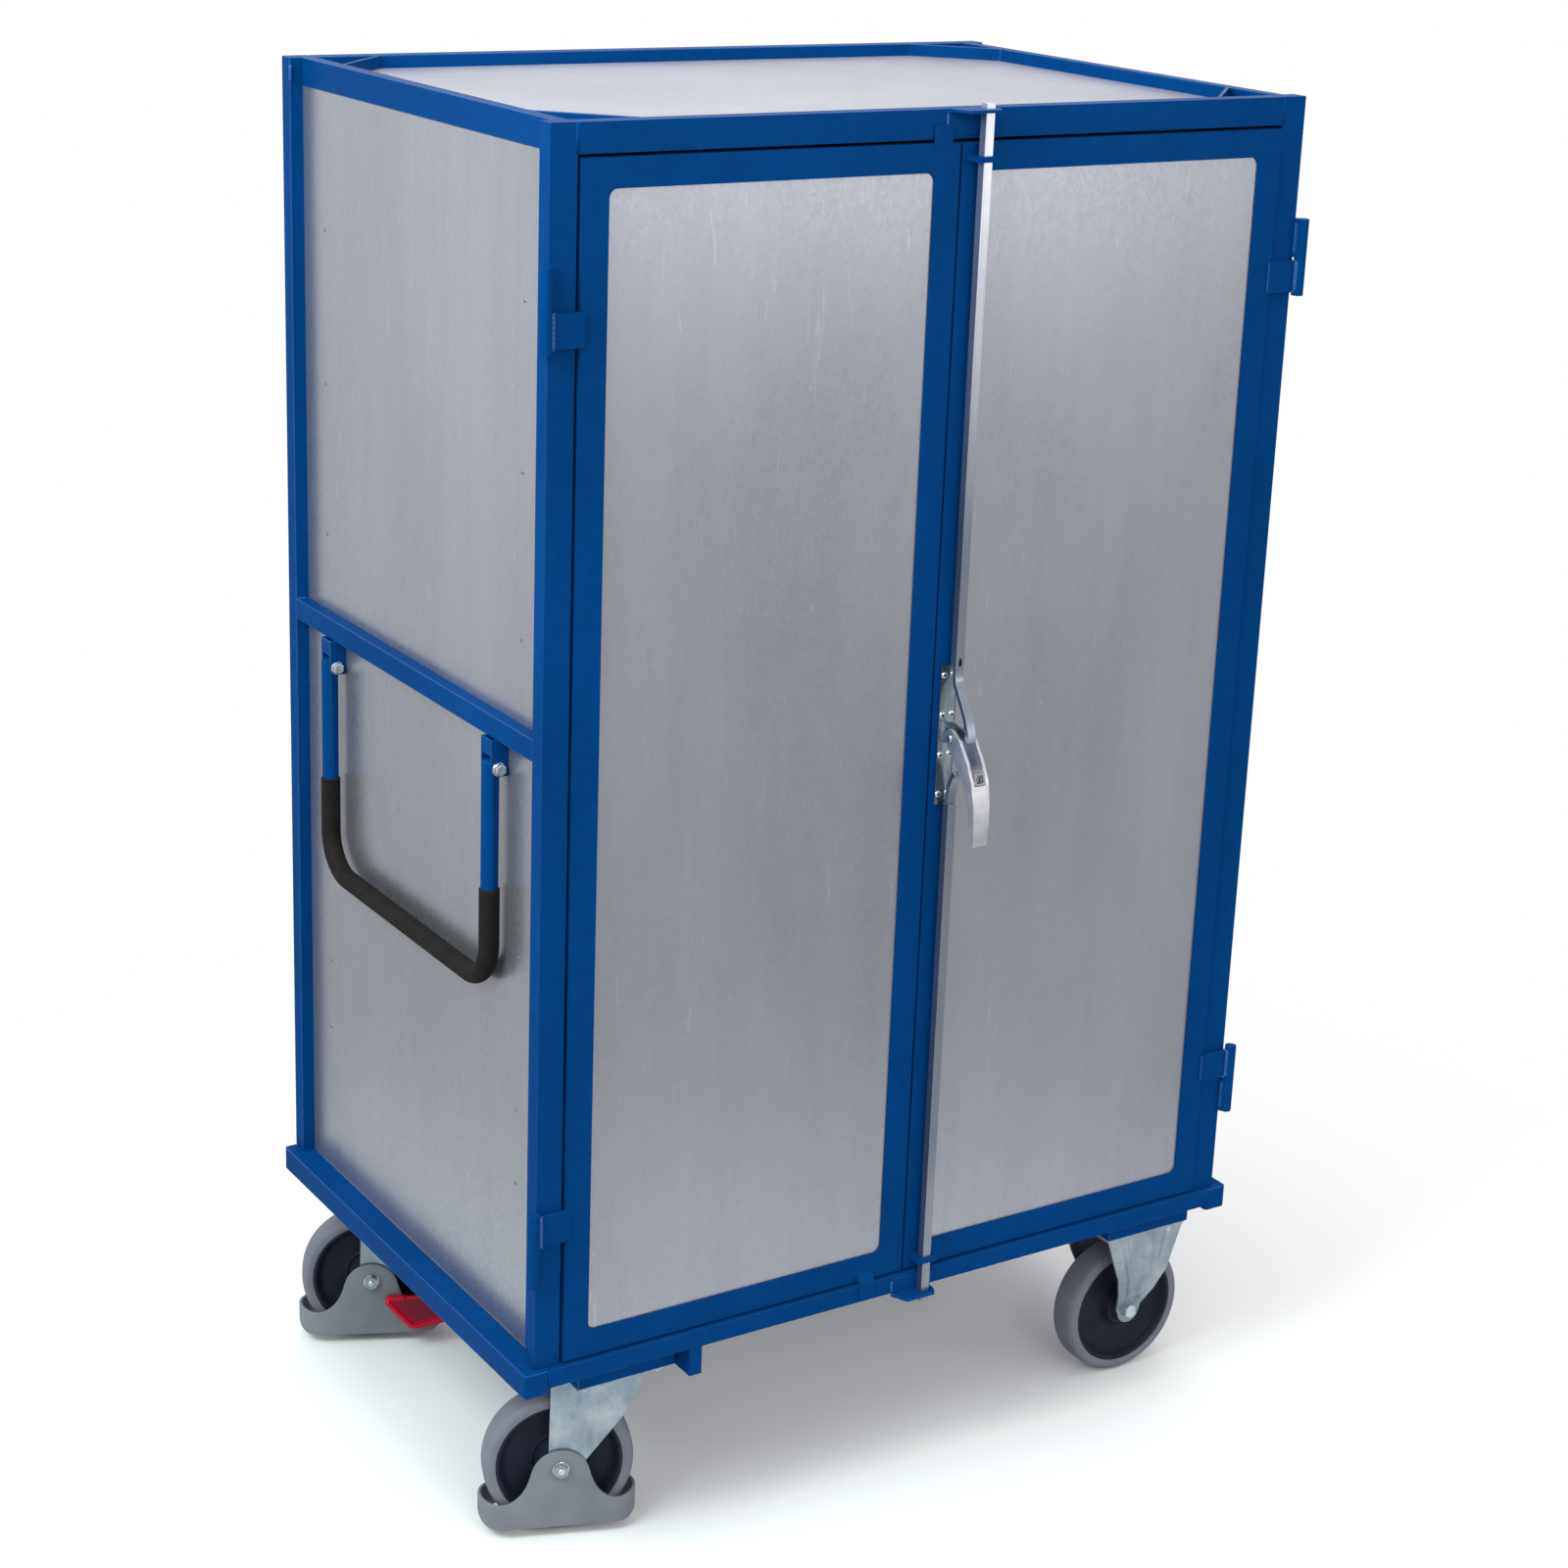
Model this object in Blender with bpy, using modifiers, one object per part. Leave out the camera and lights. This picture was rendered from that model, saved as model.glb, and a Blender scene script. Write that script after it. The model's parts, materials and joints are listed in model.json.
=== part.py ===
"""A closed shelf trolley: steel frame, sheet cladding, double doors with a lever lock, casters.

Metres, +Z up, front towards -Y, push handle at the -X end. The pieces are placed in the
cabinet's own frame, whose origin is on the floor under the cabinet's middle, and the whole
trolley is then moved so that its origin is under the middle of its bounding box.
"""

import math

import bmesh
import bpy
from mathutils import Matrix, Vector

# Fits
GAP = 0.0003
SINK = 0.001
OVERRUN = 0.004
RUNNING = 0.0004
MERGE = 0.00001

# Cabinet
CABINET_WIDTH = 1.100
CABINET_DEPTH = 0.736
CABINET_HEIGHT = 1.547
POST_WIDTH = 0.035
POST_DEPTH = 0.025
TUBE_WALL = 0.002
RIM_HEIGHT = 0.036
RIM_FRONT_DEPTH = 0.022
RIM_SIDE_WIDTH = 0.018
RIM_SIDE_RECESS = 0.017
MID_RAIL_HEIGHT = 0.028
MID_RAIL_TOP = 0.825
GUSSET_LEG = 0.095
GUSSET_THICKNESS = 0.004
SHEET = 0.0015
TOP_SHEET_DROP = 0.017
SIDE_PANEL_RECESS = 0.018
BACK_PANEL_RECESS = 0.018

# Base frame and casters' beams
BASE_MEMBER_WIDTH = 0.035
BASE_MEMBER_HEIGHT = 0.033
BASE_MEMBER_OVERHANG = 0.018
BASE_MEMBER_CORNER = 0.005
BASE_FRONT_STEP = 0.010
BASE_RAIL_DEPTH = 0.035
BASE_RAIL_HEIGHT = 0.025
CROSS_MEMBER_GAP = 0.005
CROSS_MEMBER_WIDTH = 0.018
CROSS_MEMBER_HEIGHT = 0.039
BEAM_WIDTH = 0.144
BEAM_END_INSET = 0.018
BEAM_HEIGHT = 0.034
BEAM_WALL = 0.003

# Shelves and their slotted rails
SHELF_COUNT = 3
SHELF_LIP = 0.025
SHELF_SIDE_GAP = 0.001
SHELF_DOOR_GAP = 0.010
SHELF_RAIL_WIDTH = 0.025
SHELF_RAIL_DEPTH = 0.015
SHELF_RAIL_FROM_POST = 0.065
SHELF_RAIL_END = 0.012
SHELF_HOOK_REACH = 0.012
SHELF_HOOK_HEIGHT = 0.010

# Doors
DOOR_PROUD = 0.004
DOOR_THICKNESS = 0.020
DOOR_FACE = 0.0025
DOOR_PROFILE = 0.035
DOOR_WINDOW_CORNER = 0.011
DOOR_SIDE_GAP = 0.004
DOOR_TOP_GAP = 0.004
DOOR_BOTTOM_GAP = 0.003
DOOR_MEETING_GAP = 0.003
DOOR_MEETING_X = 0.006
DOOR_PANEL_RECESS = 0.003
TOP_STOP_WIDTH = 0.026
TOP_STOP_RISE = 0.022
TOP_STOP_LEFT = 0.038
TOP_STOP_CORNER = 0.008
STOP_THICKNESS = 0.0025
STOP_LAP = 0.006
BOTTOM_STOP_WIDTH = 0.023
BOTTOM_STOP_LEFT = 0.072
BOTTOM_STOP_DROP = 0.022
BOTTOM_STOP_THICKNESS = 0.0025
BOTTOM_STOP_RISE = 0.012
BOTTOM_STOP_CLEARANCE = 0.0006

# Hinges
HINGE_RADIUS = 0.008
HINGE_PIN_RADIUS = 0.004
HINGE_PIN_LENGTH = 0.030
HINGE_HALF = 0.050
HINGE_X_OUT = 0.007
HINGE_Y_OUT = 0.007
UPPER_HINGE_DROP = 0.207
LOWER_HINGE_HEIGHT = 0.170
HINGE_STRAP_HEIGHT = 0.041
HINGE_STRAP_THICKNESS = 0.004
HINGE_STRAP_LAP = 0.005
HINGE_STRAP_INSET = 0.004
HINGE_WELD = 0.010

# Lock bars, keepers and guides
BAR_FROM_EDGE = 0.0235
BAR_WIDTH = 0.0125
BAR_DEPTH = 0.012
BAR_STANDOFF = 0.009
UPPER_BAR_RISE = 0.088
UPPER_BAR_PROUD = 0.008
LOWER_BAR_FALL = 0.093
LOWER_BAR_DROP = 0.0405
KEEPER_THICKNESS = 0.004
KEEPER_LEG_THICKNESS = 0.002
KEEPER_LEG_HEIGHT = 0.030
KEEPER_LEFT = 0.045
KEEPER_RIGHT = 0.016
KEEPER_REACH = 0.033
KEEPER_CORNER = 0.011
KEEPER_PROUD = 0.001
LOWER_KEEPER_DROP = 0.005
BAR_HOLE_PLAY = 0.001
GUIDE_HALF_WIDTH = 0.015
GUIDE_HEIGHT = 0.007
GUIDE_WALL = 0.003
GUIDE_PLAY = 0.0005
GUIDE_FROM_DOOR_END = 0.015

# Lever lock
LOCK_HEIGHT = 0.762
LOCK_PLATE_WIDTH = 0.0232
LOCK_PLATE_LENGTH = 0.185
LOCK_PLATE_DROP = 0.0035
LOCK_PLATE_SHIFT = 0.0036
LOCK_PLATE_THICKNESS = 0.003
PIVOT_STANDOFF = 0.027
PIVOT_RADIUS = 0.0035
PIVOT_HEAD_RADIUS = 0.005
PIVOT_HEAD = 0.0015
LUG_INNER = 0.007
LUG_THICKNESS = 0.0022
LUG_HALF_HEIGHT = 0.014
LEVER_HEAD_HALF_WIDTH = 0.0135
LEVER_ARM = 0.004
LEVER_HEAD_RADIUS = 0.012
LEVER_DROP = 0.129
LEVER_REACH = 0.052
LEVER_TIP_HALF_WIDTH = 0.0103
LEVER_TAPER_START = 0.045
LEVER_TIP_THICKNESS = 0.010
LEVER_SLOT_DROP = 0.034
CYLINDER_RADIUS = 0.006
CYLINDER_DROP = 0.042
CYLINDER_LENGTH = 0.016
CYLINDER_PROUD = 0.0006
LINK_THICKNESS = 0.007
UPPER_LINK_STRAIGHT = 0.010
UPPER_LINK_REACH = 0.035
LOWER_LINK_RISE = 0.046
LOWER_LINK_REACH = 0.016

# Push handle
HANDLE_PIVOT_BELOW_RAIL = 0.038
HANDLE_PIVOT_INSET = 0.0045
HANDLE_HALF_WIDTH = 0.235
HANDLE_TUBE_RADIUS = 0.011
HANDLE_DROP = 0.287
HANDLE_BEND = 0.055
HANDLE_TOP = 0.007
GRIP_RADIUS = 0.013
GRIP_START = 0.159
BRACKET_WALL = 0.0025
BRACKET_RADIUS = 0.0102
BRACKET_WEB_RISE = 0.017
BOLT_RADIUS = 0.004
BOLT_HEAD_RADIUS = 0.0075
BOLT_HEAD = 0.006

# Casters
CASTER_HEIGHT = 0.241
SWIVEL_INSET = 0.145
FIXED_INSET = 0.0965
CASTER_INSET = 0.080
PLATE_LENGTH = 0.140
PLATE_DEPTH = 0.115
PLATE_THICKNESS = 0.004
WHEEL_RADIUS = 0.100
WHEEL_STEPS = 40
TREAD_HALF_WIDTH = 0.023
TREAD_FLAT = 0.014
TREAD_EDGE = 0.0203
TYRE_SHOULDER = 0.008
TYRE_EDGE_DROP = 0.002
HUB_RADIUS = 0.083
HUB_RIM = 0.010
HUB_RIM_HALF_WIDTH = 0.021
HUB_WEB_HALF_WIDTH = 0.005
HUB_BOSS_RADIUS = 0.022
HUB_BOSS_HALF_WIDTH = 0.0272
HUB_BORE_RADIUS = 0.0066
AXLE_RADIUS = 0.006
CHEEK_INNER = 0.028
CHEEK_THICKNESS = 0.0035
TRAIL = 0.059
FRONT_CASTER_TURN = -20.6
REAR_CASTER_TURN = -24.3
FORK_TOP_DROP = 0.0125
FORK_CROWN = 0.005
FORK_TAIL = 0.014
FORK_TOE = 0.104
FORK_AXLE_MARGIN = 0.016
BEARING_RADIUS = 0.034
KING_PIN_RADIUS = 0.008
KING_NUT_RADIUS = 0.013
KING_NUT = 0.008
FIXED_TOP_INSET = 0.001
FIXED_TIP_RADIUS = 0.019
AXLE_HEAD_RADIUS = 0.0105
AXLE_HEAD = 0.0065

# Foot guards and brake pedal
GUARD_WALL = 0.0045
GUARD_HALF_LENGTH = 0.1045
GUARD_BOTTOM = 0.015
GUARD_END_HEIGHT = 0.037
GUARD_CREST = 0.0273
GUARD_HUMP_RADIUS = 0.039
GUARD_FOOT = 0.012
PEDAL_THICKNESS = 0.010
PEDAL_HINGE_DROP = 0.022
PEDAL_HINGE_OUT = 0.006
PEDAL_HINGE_RADIUS = 0.0045
PEDAL_PIN_RADIUS = 0.0022
PEDAL_HINGE_START = 0.019
PEDAL_WIDTH = 0.040
PEDAL_END_WIDTH = 0.052
PEDAL_LENGTH = 0.048
PEDAL_SHIFT = 0.038
PEDAL_LEAN = 25.0
PEDAL_LUG = 0.004
PEDAL_NECK = 0.008
PEDAL_END_SHARE = 0.8

# Finishes: colour, roughness, metallic
BLUE_PAINT = ("blue_paint", (0.006, 0.055, 0.240), 0.35, 0.0)
GALVANISED = ("galvanised_sheet", (0.62, 0.63, 0.65), 0.45, 0.9)
ZINC = ("zinc_plate", (0.70, 0.74, 0.78), 0.30, 0.9)
ALUMINIUM = ("cast_aluminium", (0.78, 0.78, 0.79), 0.38, 0.9)
TYRE_GREY = ("grey_tyre", (0.165, 0.170, 0.180), 0.65, 0.0)
HUB_GREY = ("dark_hub", (0.028, 0.030, 0.034), 0.55, 0.0)
GUARD_GREY = ("grey_guard", (0.235, 0.250, 0.275), 0.55, 0.0)
PEDAL_RED = ("red_pedal", (0.480, 0.010, 0.030), 0.45, 0.0)
GRIP_BLACK = ("black_grip", (0.020, 0.018, 0.017), 0.70, 0.0)

# Places that follow from the sizes
BASE_TOP = CASTER_HEIGHT + BEAM_HEIGHT + BASE_RAIL_HEIGHT
CABINET_TOP = BASE_TOP + CABINET_HEIGHT
RAIL_BOTTOM = CABINET_TOP - RIM_HEIGHT
POST_OUT_X = CABINET_WIDTH / 2
POST_IN_X = POST_OUT_X - POST_WIDTH
FRONT_Y = -CABINET_DEPTH / 2
REAR_Y = CABINET_DEPTH / 2
POST_IN_Y = REAR_Y - POST_DEPTH
BASE_FRONT_Y = FRONT_Y - BASE_FRONT_STEP
BASE_OUT_X = POST_OUT_X + BASE_MEMBER_OVERHANG
BASE_IN_X = BASE_OUT_X - BASE_MEMBER_WIDTH
RAIL_IN_Y = REAR_Y - RIM_FRONT_DEPTH
PANEL_X = POST_OUT_X - SIDE_PANEL_RECESS
SHELF_RAIL_Y = POST_IN_Y - SHELF_RAIL_FROM_POST
SWIVEL_X = POST_OUT_X - SWIVEL_INSET
FIXED_X = POST_OUT_X - FIXED_INSET
CASTER_Y = REAR_Y - CASTER_INSET
BEAM_END_Y = REAR_Y - BEAM_END_INSET
CROSS_MEMBER_X = SWIVEL_X - BEAM_WIDTH / 2 - CROSS_MEMBER_GAP
MID_RAIL_Z = BASE_TOP + MID_RAIL_TOP - MID_RAIL_HEIGHT
DOOR_FRONT_Y = FRONT_Y - DOOR_PROUD
DOOR_BACK_Y = DOOR_FRONT_Y + DOOR_THICKNESS
DOOR_BOTTOM = BASE_TOP + DOOR_BOTTOM_GAP
DOOR_TOP = RAIL_BOTTOM - DOOR_TOP_GAP
DOOR_OUT_X = POST_IN_X - DOOR_SIDE_GAP
HINGE_X = POST_OUT_X + HINGE_X_OUT
HINGE_Y = FRONT_Y - HINGE_Y_OUT
BAR_X = DOOR_MEETING_X + DOOR_MEETING_GAP / 2 + BAR_FROM_EDGE
BAR_BACK_Y = DOOR_FRONT_Y - BAR_STANDOFF
BAR_FRONT_Y = BAR_BACK_Y - BAR_DEPTH
BAR_MID_Y = (BAR_BACK_Y + BAR_FRONT_Y) / 2
PIVOT_Y = DOOR_FRONT_Y - PIVOT_STANDOFF
PIVOT_Z = BASE_TOP + LOCK_HEIGHT
HANDLE_PIVOT_Z = MID_RAIL_Z - HANDLE_PIVOT_BELOW_RAIL
HANDLE_PIVOT_X = -POST_OUT_X + HANDLE_PIVOT_INSET
HALF_STEP = math.pi / WHEEL_STEPS
AXLE_Z = WHEEL_RADIUS * math.cos(HALF_STEP)
CHEEK_OUTER = CHEEK_INNER + CHEEK_THICKNESS
GUARD_INNER = CHEEK_OUTER + GAP
GUARD_OUTER = GUARD_INNER + GUARD_WALL
FORK_TOP = CASTER_HEIGHT - FORK_TOP_DROP

FACING_FRONT = Matrix.Rotation(math.radians(90), 4, "X")
FACING_SIDE = Matrix(((0, 0, 1, 0), (1, 0, 0, 0), (0, 1, 0, 0), (0, 0, 0, 1)))
ROUND_SEGMENTS = 24
SMALL_SEGMENTS = 16
HEXAGON = 6
ARC_POINTS = 6
TUBE_RESOLUTION = 4
SMOOTH_ANGLE = math.radians(35)

for old in list(bpy.data.objects):
    bpy.data.objects.remove(old, do_unlink=True)

parts = bpy.data.collections.new("shelf_trolley")
cutters = bpy.data.collections.new("cutters")
bpy.context.scene.collection.children.link(parts)
bpy.context.scene.collection.children.link(cutters)
materials = {}


def material(finish):
    """The Principled material of one finish, made once."""
    name, colour, roughness, metallic = finish
    if name not in materials:
        made = bpy.data.materials.new(name)
        made.use_nodes = True
        shader = made.node_tree.nodes["Principled BSDF"]
        shader.inputs["Base Color"].default_value = (*colour, 1)
        shader.inputs["Roughness"].default_value = roughness
        shader.inputs["Metallic"].default_value = metallic
        made.diffuse_color = (*colour, 1)
        materials[name] = made
    return materials[name]


def axis_empty(name, place, parent, turn=0):
    """An empty on a joint's axis, turned about +Z; its place is in the parent's own frame."""
    empty = bpy.data.objects.new(name, None)
    parts.objects.link(empty)
    empty.parent = parent
    empty.location = place
    empty.rotation_euler = (0, 0, math.radians(turn))
    bpy.context.view_layer.update()
    return empty


def new_shape(name, mesh, frame):
    """A loose object, still without a material or a parent."""
    shape = bpy.data.objects.new(name, mesh)
    shape.matrix_world = frame
    parts.objects.link(shape)
    return shape


def mesh_of(build, name):
    """A mesh filled by the function build."""
    bm = bmesh.new()
    build(bm)
    mesh = bpy.data.meshes.new(name)
    bm.to_mesh(mesh)
    bm.free()
    return mesh


def box(name, low, high):
    """A box between two corners, with its origin in its middle."""
    low = Vector(low)
    high = Vector(high)
    size = Matrix.Diagonal((*(high - low), 1))
    mesh = mesh_of(lambda bm: bmesh.ops.create_cube(bm, size=1, matrix=size), name)
    return new_shape(name, mesh, Matrix.Translation((low + high) / 2))


def mirrored_box(name, side, low, high):
    """A box given for the right-hand side, put on the side wanted."""
    xs = sorted((side * low[0], side * high[0]))
    return box(name, (xs[0], *low[1:]), (xs[1], *high[1:]))


def rod(name, radius, start, end, segments=SMALL_SEGMENTS):
    """A round or polygonal rod from one point to another."""
    start = Vector(start)
    end = Vector(end)
    length = (end - start).length

    def build(bm):
        bmesh.ops.create_cone(bm, cap_ends=True, segments=segments, radius1=radius,
                              radius2=radius, depth=length)

    mesh = mesh_of(build, name)
    mesh.shade_smooth()
    mesh.set_sharp_from_angle(angle=SMOOTH_ANGLE)
    turn = (end - start).to_track_quat("Z", "Y").to_matrix().to_4x4()
    return new_shape(name, mesh, Matrix.Translation((start + end) / 2) @ turn)


def as_mesh(curve_object, name):
    """The evaluated curve as a welded mesh object in the same place."""
    bpy.context.view_layer.update()
    graph = bpy.context.evaluated_depsgraph_get()
    mesh = bpy.data.meshes.new_from_object(curve_object.evaluated_get(graph))
    bm = bmesh.new()
    bm.from_mesh(mesh)
    bmesh.ops.remove_doubles(bm, verts=bm.verts, dist=MERGE)
    bm.to_mesh(mesh)
    bm.free()
    made = new_shape(name, mesh, curve_object.matrix_world.copy())
    bpy.data.objects.remove(curve_object, do_unlink=True)
    return made


def outline(name, loops, thickness, place, facing=None):
    """A flat outline of one or more closed loops, extruded evenly to both sides of its plane."""
    curve = bpy.data.curves.new(name, "CURVE")
    curve.dimensions = "2D"
    curve.fill_mode = "BOTH"
    curve.extrude = thickness / 2
    for points in loops:
        spline = curve.splines.new("POLY")
        spline.points.add(len(points[1:]))
        for point, (a, b) in zip(spline.points, points):
            point.co = (a, b, 0, 1)
        spline.use_cyclic_u = True
    frame = Matrix.Translation(place) @ (facing or Matrix.Identity(4))
    return as_mesh(new_shape(name + "_curve", curve, frame), name)


def tube(name, points, radius, caps=True):
    """A round tube or bar along a path."""
    curve = bpy.data.curves.new(name, "CURVE")
    curve.dimensions = "3D"
    curve.bevel_depth = radius
    curve.bevel_resolution = TUBE_RESOLUTION
    curve.use_fill_caps = caps
    spline = curve.splines.new("POLY")
    spline.points.add(len(points[1:]))
    for point, place in zip(spline.points, points):
        point.co = (*place, 1)
    made = as_mesh(new_shape(name + "_curve", curve, Matrix.Identity(4)), name)
    made.data.shade_smooth()
    made.data.set_sharp_from_angle(angle=SMOOTH_ANGLE)
    return made


def turned(name, profile, frame):
    """A ring turned about its own Z axis from a closed profile of (radius, height) points."""
    mesh = bpy.data.meshes.new(name)
    edges = [(index, (index + 1) % len(profile)) for index in range(len(profile))]
    mesh.from_pydata([(radius, 0, height) for radius, height in profile], edges, [])
    ring = new_shape(name, mesh, frame)
    screw = ring.modifiers.new("turn", "SCREW")
    screw.steps = WHEEL_STEPS
    screw.render_steps = WHEEL_STEPS
    screw.use_merge_vertices = True
    screw.merge_threshold = MERGE
    screw.use_smooth_shade = False
    return ring


tools_of = {}


def change(target, tool, operation):
    """Joins a shape to the target or cuts it out, and puts the tool with the cutters."""
    modifier = target.modifiers.new(tool.name, "BOOLEAN")
    modifier.operation = operation
    modifier.object = tool
    parts.objects.unlink(tool)
    cutters.objects.link(tool)
    tool.hide_render = True
    tool.display_type = "WIRE"
    tools_of.setdefault(target.name, []).append(tool)
    return target


def weld(target, *others):
    """Joins shapes to the target."""
    for other in others:
        change(target, other, "UNION")
    return target


def cut(target, *others):
    """Cuts shapes out of the target."""
    for other in others:
        change(target, other, "DIFFERENCE")
    return target


def with_tools(piece):
    """A piece and every shape that is joined to it or cut out of it, also those of its tools."""
    found = [piece]
    for tool in tools_of.get(piece.name, []):
        found += with_tools(tool)
    return found


def finish(piece, look, parent):
    """Paints a piece and hangs it and its tools on their parent, in place."""
    for item in with_tools(piece):
        item.parent = parent
        item.matrix_parent_inverse = parent.matrix_world.inverted()
    piece.data.materials.append(material(look))


def arc(centre, radius, start, end, count=ARC_POINTS):
    """Points on an arc, angles in degrees, both ends included."""
    turns = [math.radians(start + (end - start) * index / count) for index in range(count + 1)]
    return [(centre[0] + radius * math.cos(t), centre[1] + radius * math.sin(t)) for t in turns]


def rounded_rectangle(left, right, bottom, top, radius):
    """A rectangle's outline with round corners, anticlockwise from the lower right corner."""
    return (arc((right - radius, bottom + radius), radius, -90, 0)
            + arc((right - radius, top - radius), radius, 0, 90)
            + arc((left + radius, top - radius), radius, 90, 180)
            + arc((left + radius, bottom + radius), radius, 180, 270))


def rectangle(left, right, bottom, top):
    """A plain rectangle's outline."""
    return [(left, bottom), (right, bottom), (right, top), (left, top)]


def strip(points, thickness):
    """The outline of a bent strip of even thickness along a line of points."""
    left = []
    right = []
    for index, point in enumerate(points):
        here = Vector(point)
        before = Vector(points[max(index - 1, 0)])
        after = Vector(points[min(index + 1, len(points) - 1)])
        normal = (after - before).normalized().orthogonal() * (thickness / 2)
        left.append(tuple(here + normal))
        right.append(tuple(here - normal))
    return left + right[::-1]


def hollow_bar(name, low, high, axis, wall, open_low=True, open_high=True):
    """A box section tube along one axis, open at one or both ends."""
    inner_low = [value + wall for value in low]
    inner_high = [value - wall for value in high]
    inner_low[axis] = low[axis] - OVERRUN if open_low else low[axis] + wall
    inner_high[axis] = high[axis] + OVERRUN if open_high else high[axis] - wall
    return cut(box(name, low, high), box(name + "_bore", inner_low, inner_high))


def hinge_halves(name, side, split, post_above):
    """The post's half, with its pin, and the door's half of one lift-off hinge."""
    up = 1 if post_above else -1
    x = side * HINGE_X
    z_post = sorted((split + up * GAP / 2, split + up * HINGE_HALF))
    z_door = sorted((split - up * GAP / 2, split - up * HINGE_HALF))
    post_barrel = rod(name + "_post_barrel", HINGE_RADIUS, (x, HINGE_Y, z_post[0]), (x, HINGE_Y, z_post[1]))
    weld_block = mirrored_box(name + "_weld", side, (HINGE_X - HINGE_WELD, HINGE_Y, z_post[0]),
                              (HINGE_X, HINGE_Y + HINGE_WELD, z_post[1]))
    pin = rod(name + "_pin", HINGE_PIN_RADIUS, (x, HINGE_Y, split + up * HINGE_PIN_RADIUS),
              (x, HINGE_Y, split - up * HINGE_PIN_LENGTH))
    door_barrel = rod(name + "_door_barrel", HINGE_RADIUS, (x, HINGE_Y, z_door[0]), (x, HINGE_Y, z_door[1]))
    strap_end = split - up * HINGE_STRAP_INSET
    z_strap = sorted((strap_end, strap_end - up * HINGE_STRAP_HEIGHT))
    strap_back = DOOR_FRONT_Y + SINK
    strap_front = strap_back - HINGE_STRAP_THICKNESS - SINK
    strap = mirrored_box(name + "_strap", side, (DOOR_OUT_X - HINGE_STRAP_LAP, strap_front, z_strap[0]),
                         (HINGE_X, strap_back, z_strap[1]))
    bore = rod(name + "_bore", HINGE_PIN_RADIUS + RUNNING, (x, HINGE_Y, split + up * OVERRUN),
               (x, HINGE_Y, split - up * (HINGE_PIN_LENGTH + RUNNING)))
    return (post_barrel, weld_block, pin), (door_barrel, strap), bore


def hinge_places():
    """Each hinge's name, the height where its halves meet, and whether the post's half is above."""
    return (("upper_hinge", CABINET_TOP - UPPER_HINGE_DROP, True),
            ("lower_hinge", BASE_TOP + LOWER_HINGE_HEIGHT, False))


def corner_name(side, front):
    """The plain name of one corner of the cabinet."""
    return ("front" if front else "rear") + ("_left" if side < 0 else "_right")


def make_posts(root):
    """The four corner posts; the front ones carry the posts' halves of the hinges."""
    for side in (-1, 1):
        xs = sorted((side * POST_IN_X, side * POST_OUT_X))
        for front in (True, False):
            ys = (FRONT_Y, -POST_IN_Y) if front else (POST_IN_Y, REAR_Y)
            post = hollow_bar(corner_name(side, front) + "_post", (xs[0], ys[0], BASE_TOP + GAP),
                              (xs[1], ys[1], CABINET_TOP), 2, TUBE_WALL, open_high=False)
            if front:
                for name, split, post_above in hinge_places():
                    fixed, moving, bore = hinge_halves(post.name + name, side, split, post_above)
                    for unused in (*moving, bore):
                        bpy.data.objects.remove(unused, do_unlink=True)
                    weld(post, *fixed)
            finish(post, BLUE_PAINT, root)


def keeper(name, face_y, ear_z, leg_low, leg_high):
    """A lock bar keeper: a leg on a rail's face and an ear with a hole for the bar."""
    left = BAR_X - KEEPER_LEFT
    right = BAR_X + KEEPER_RIGHT
    sunk = face_y + SINK
    reach = FRONT_Y - KEEPER_REACH
    ear_points = [(left, sunk), (left, FRONT_Y - BASE_FRONT_STEP), (left + KEEPER_CORNER, reach),
                  (right - KEEPER_CORNER / 2, reach), (right, reach + KEEPER_CORNER), (right, sunk)]
    ear = outline(name + "_ear", [ear_points], KEEPER_THICKNESS, (0, 0, ear_z))
    leg = box(name + "_leg", (left, face_y - KEEPER_LEG_THICKNESS, leg_low), (right, sunk, leg_high))
    play = BAR_HOLE_PLAY
    hole = box(name + "_hole",
               (BAR_X - BAR_WIDTH / 2 - play, BAR_FRONT_Y - play, ear_z - KEEPER_THICKNESS - OVERRUN),
               (BAR_X + BAR_WIDTH / 2 + play, BAR_BACK_Y + play, ear_z + KEEPER_THICKNESS + OVERRUN))
    return (leg, ear), hole


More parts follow.
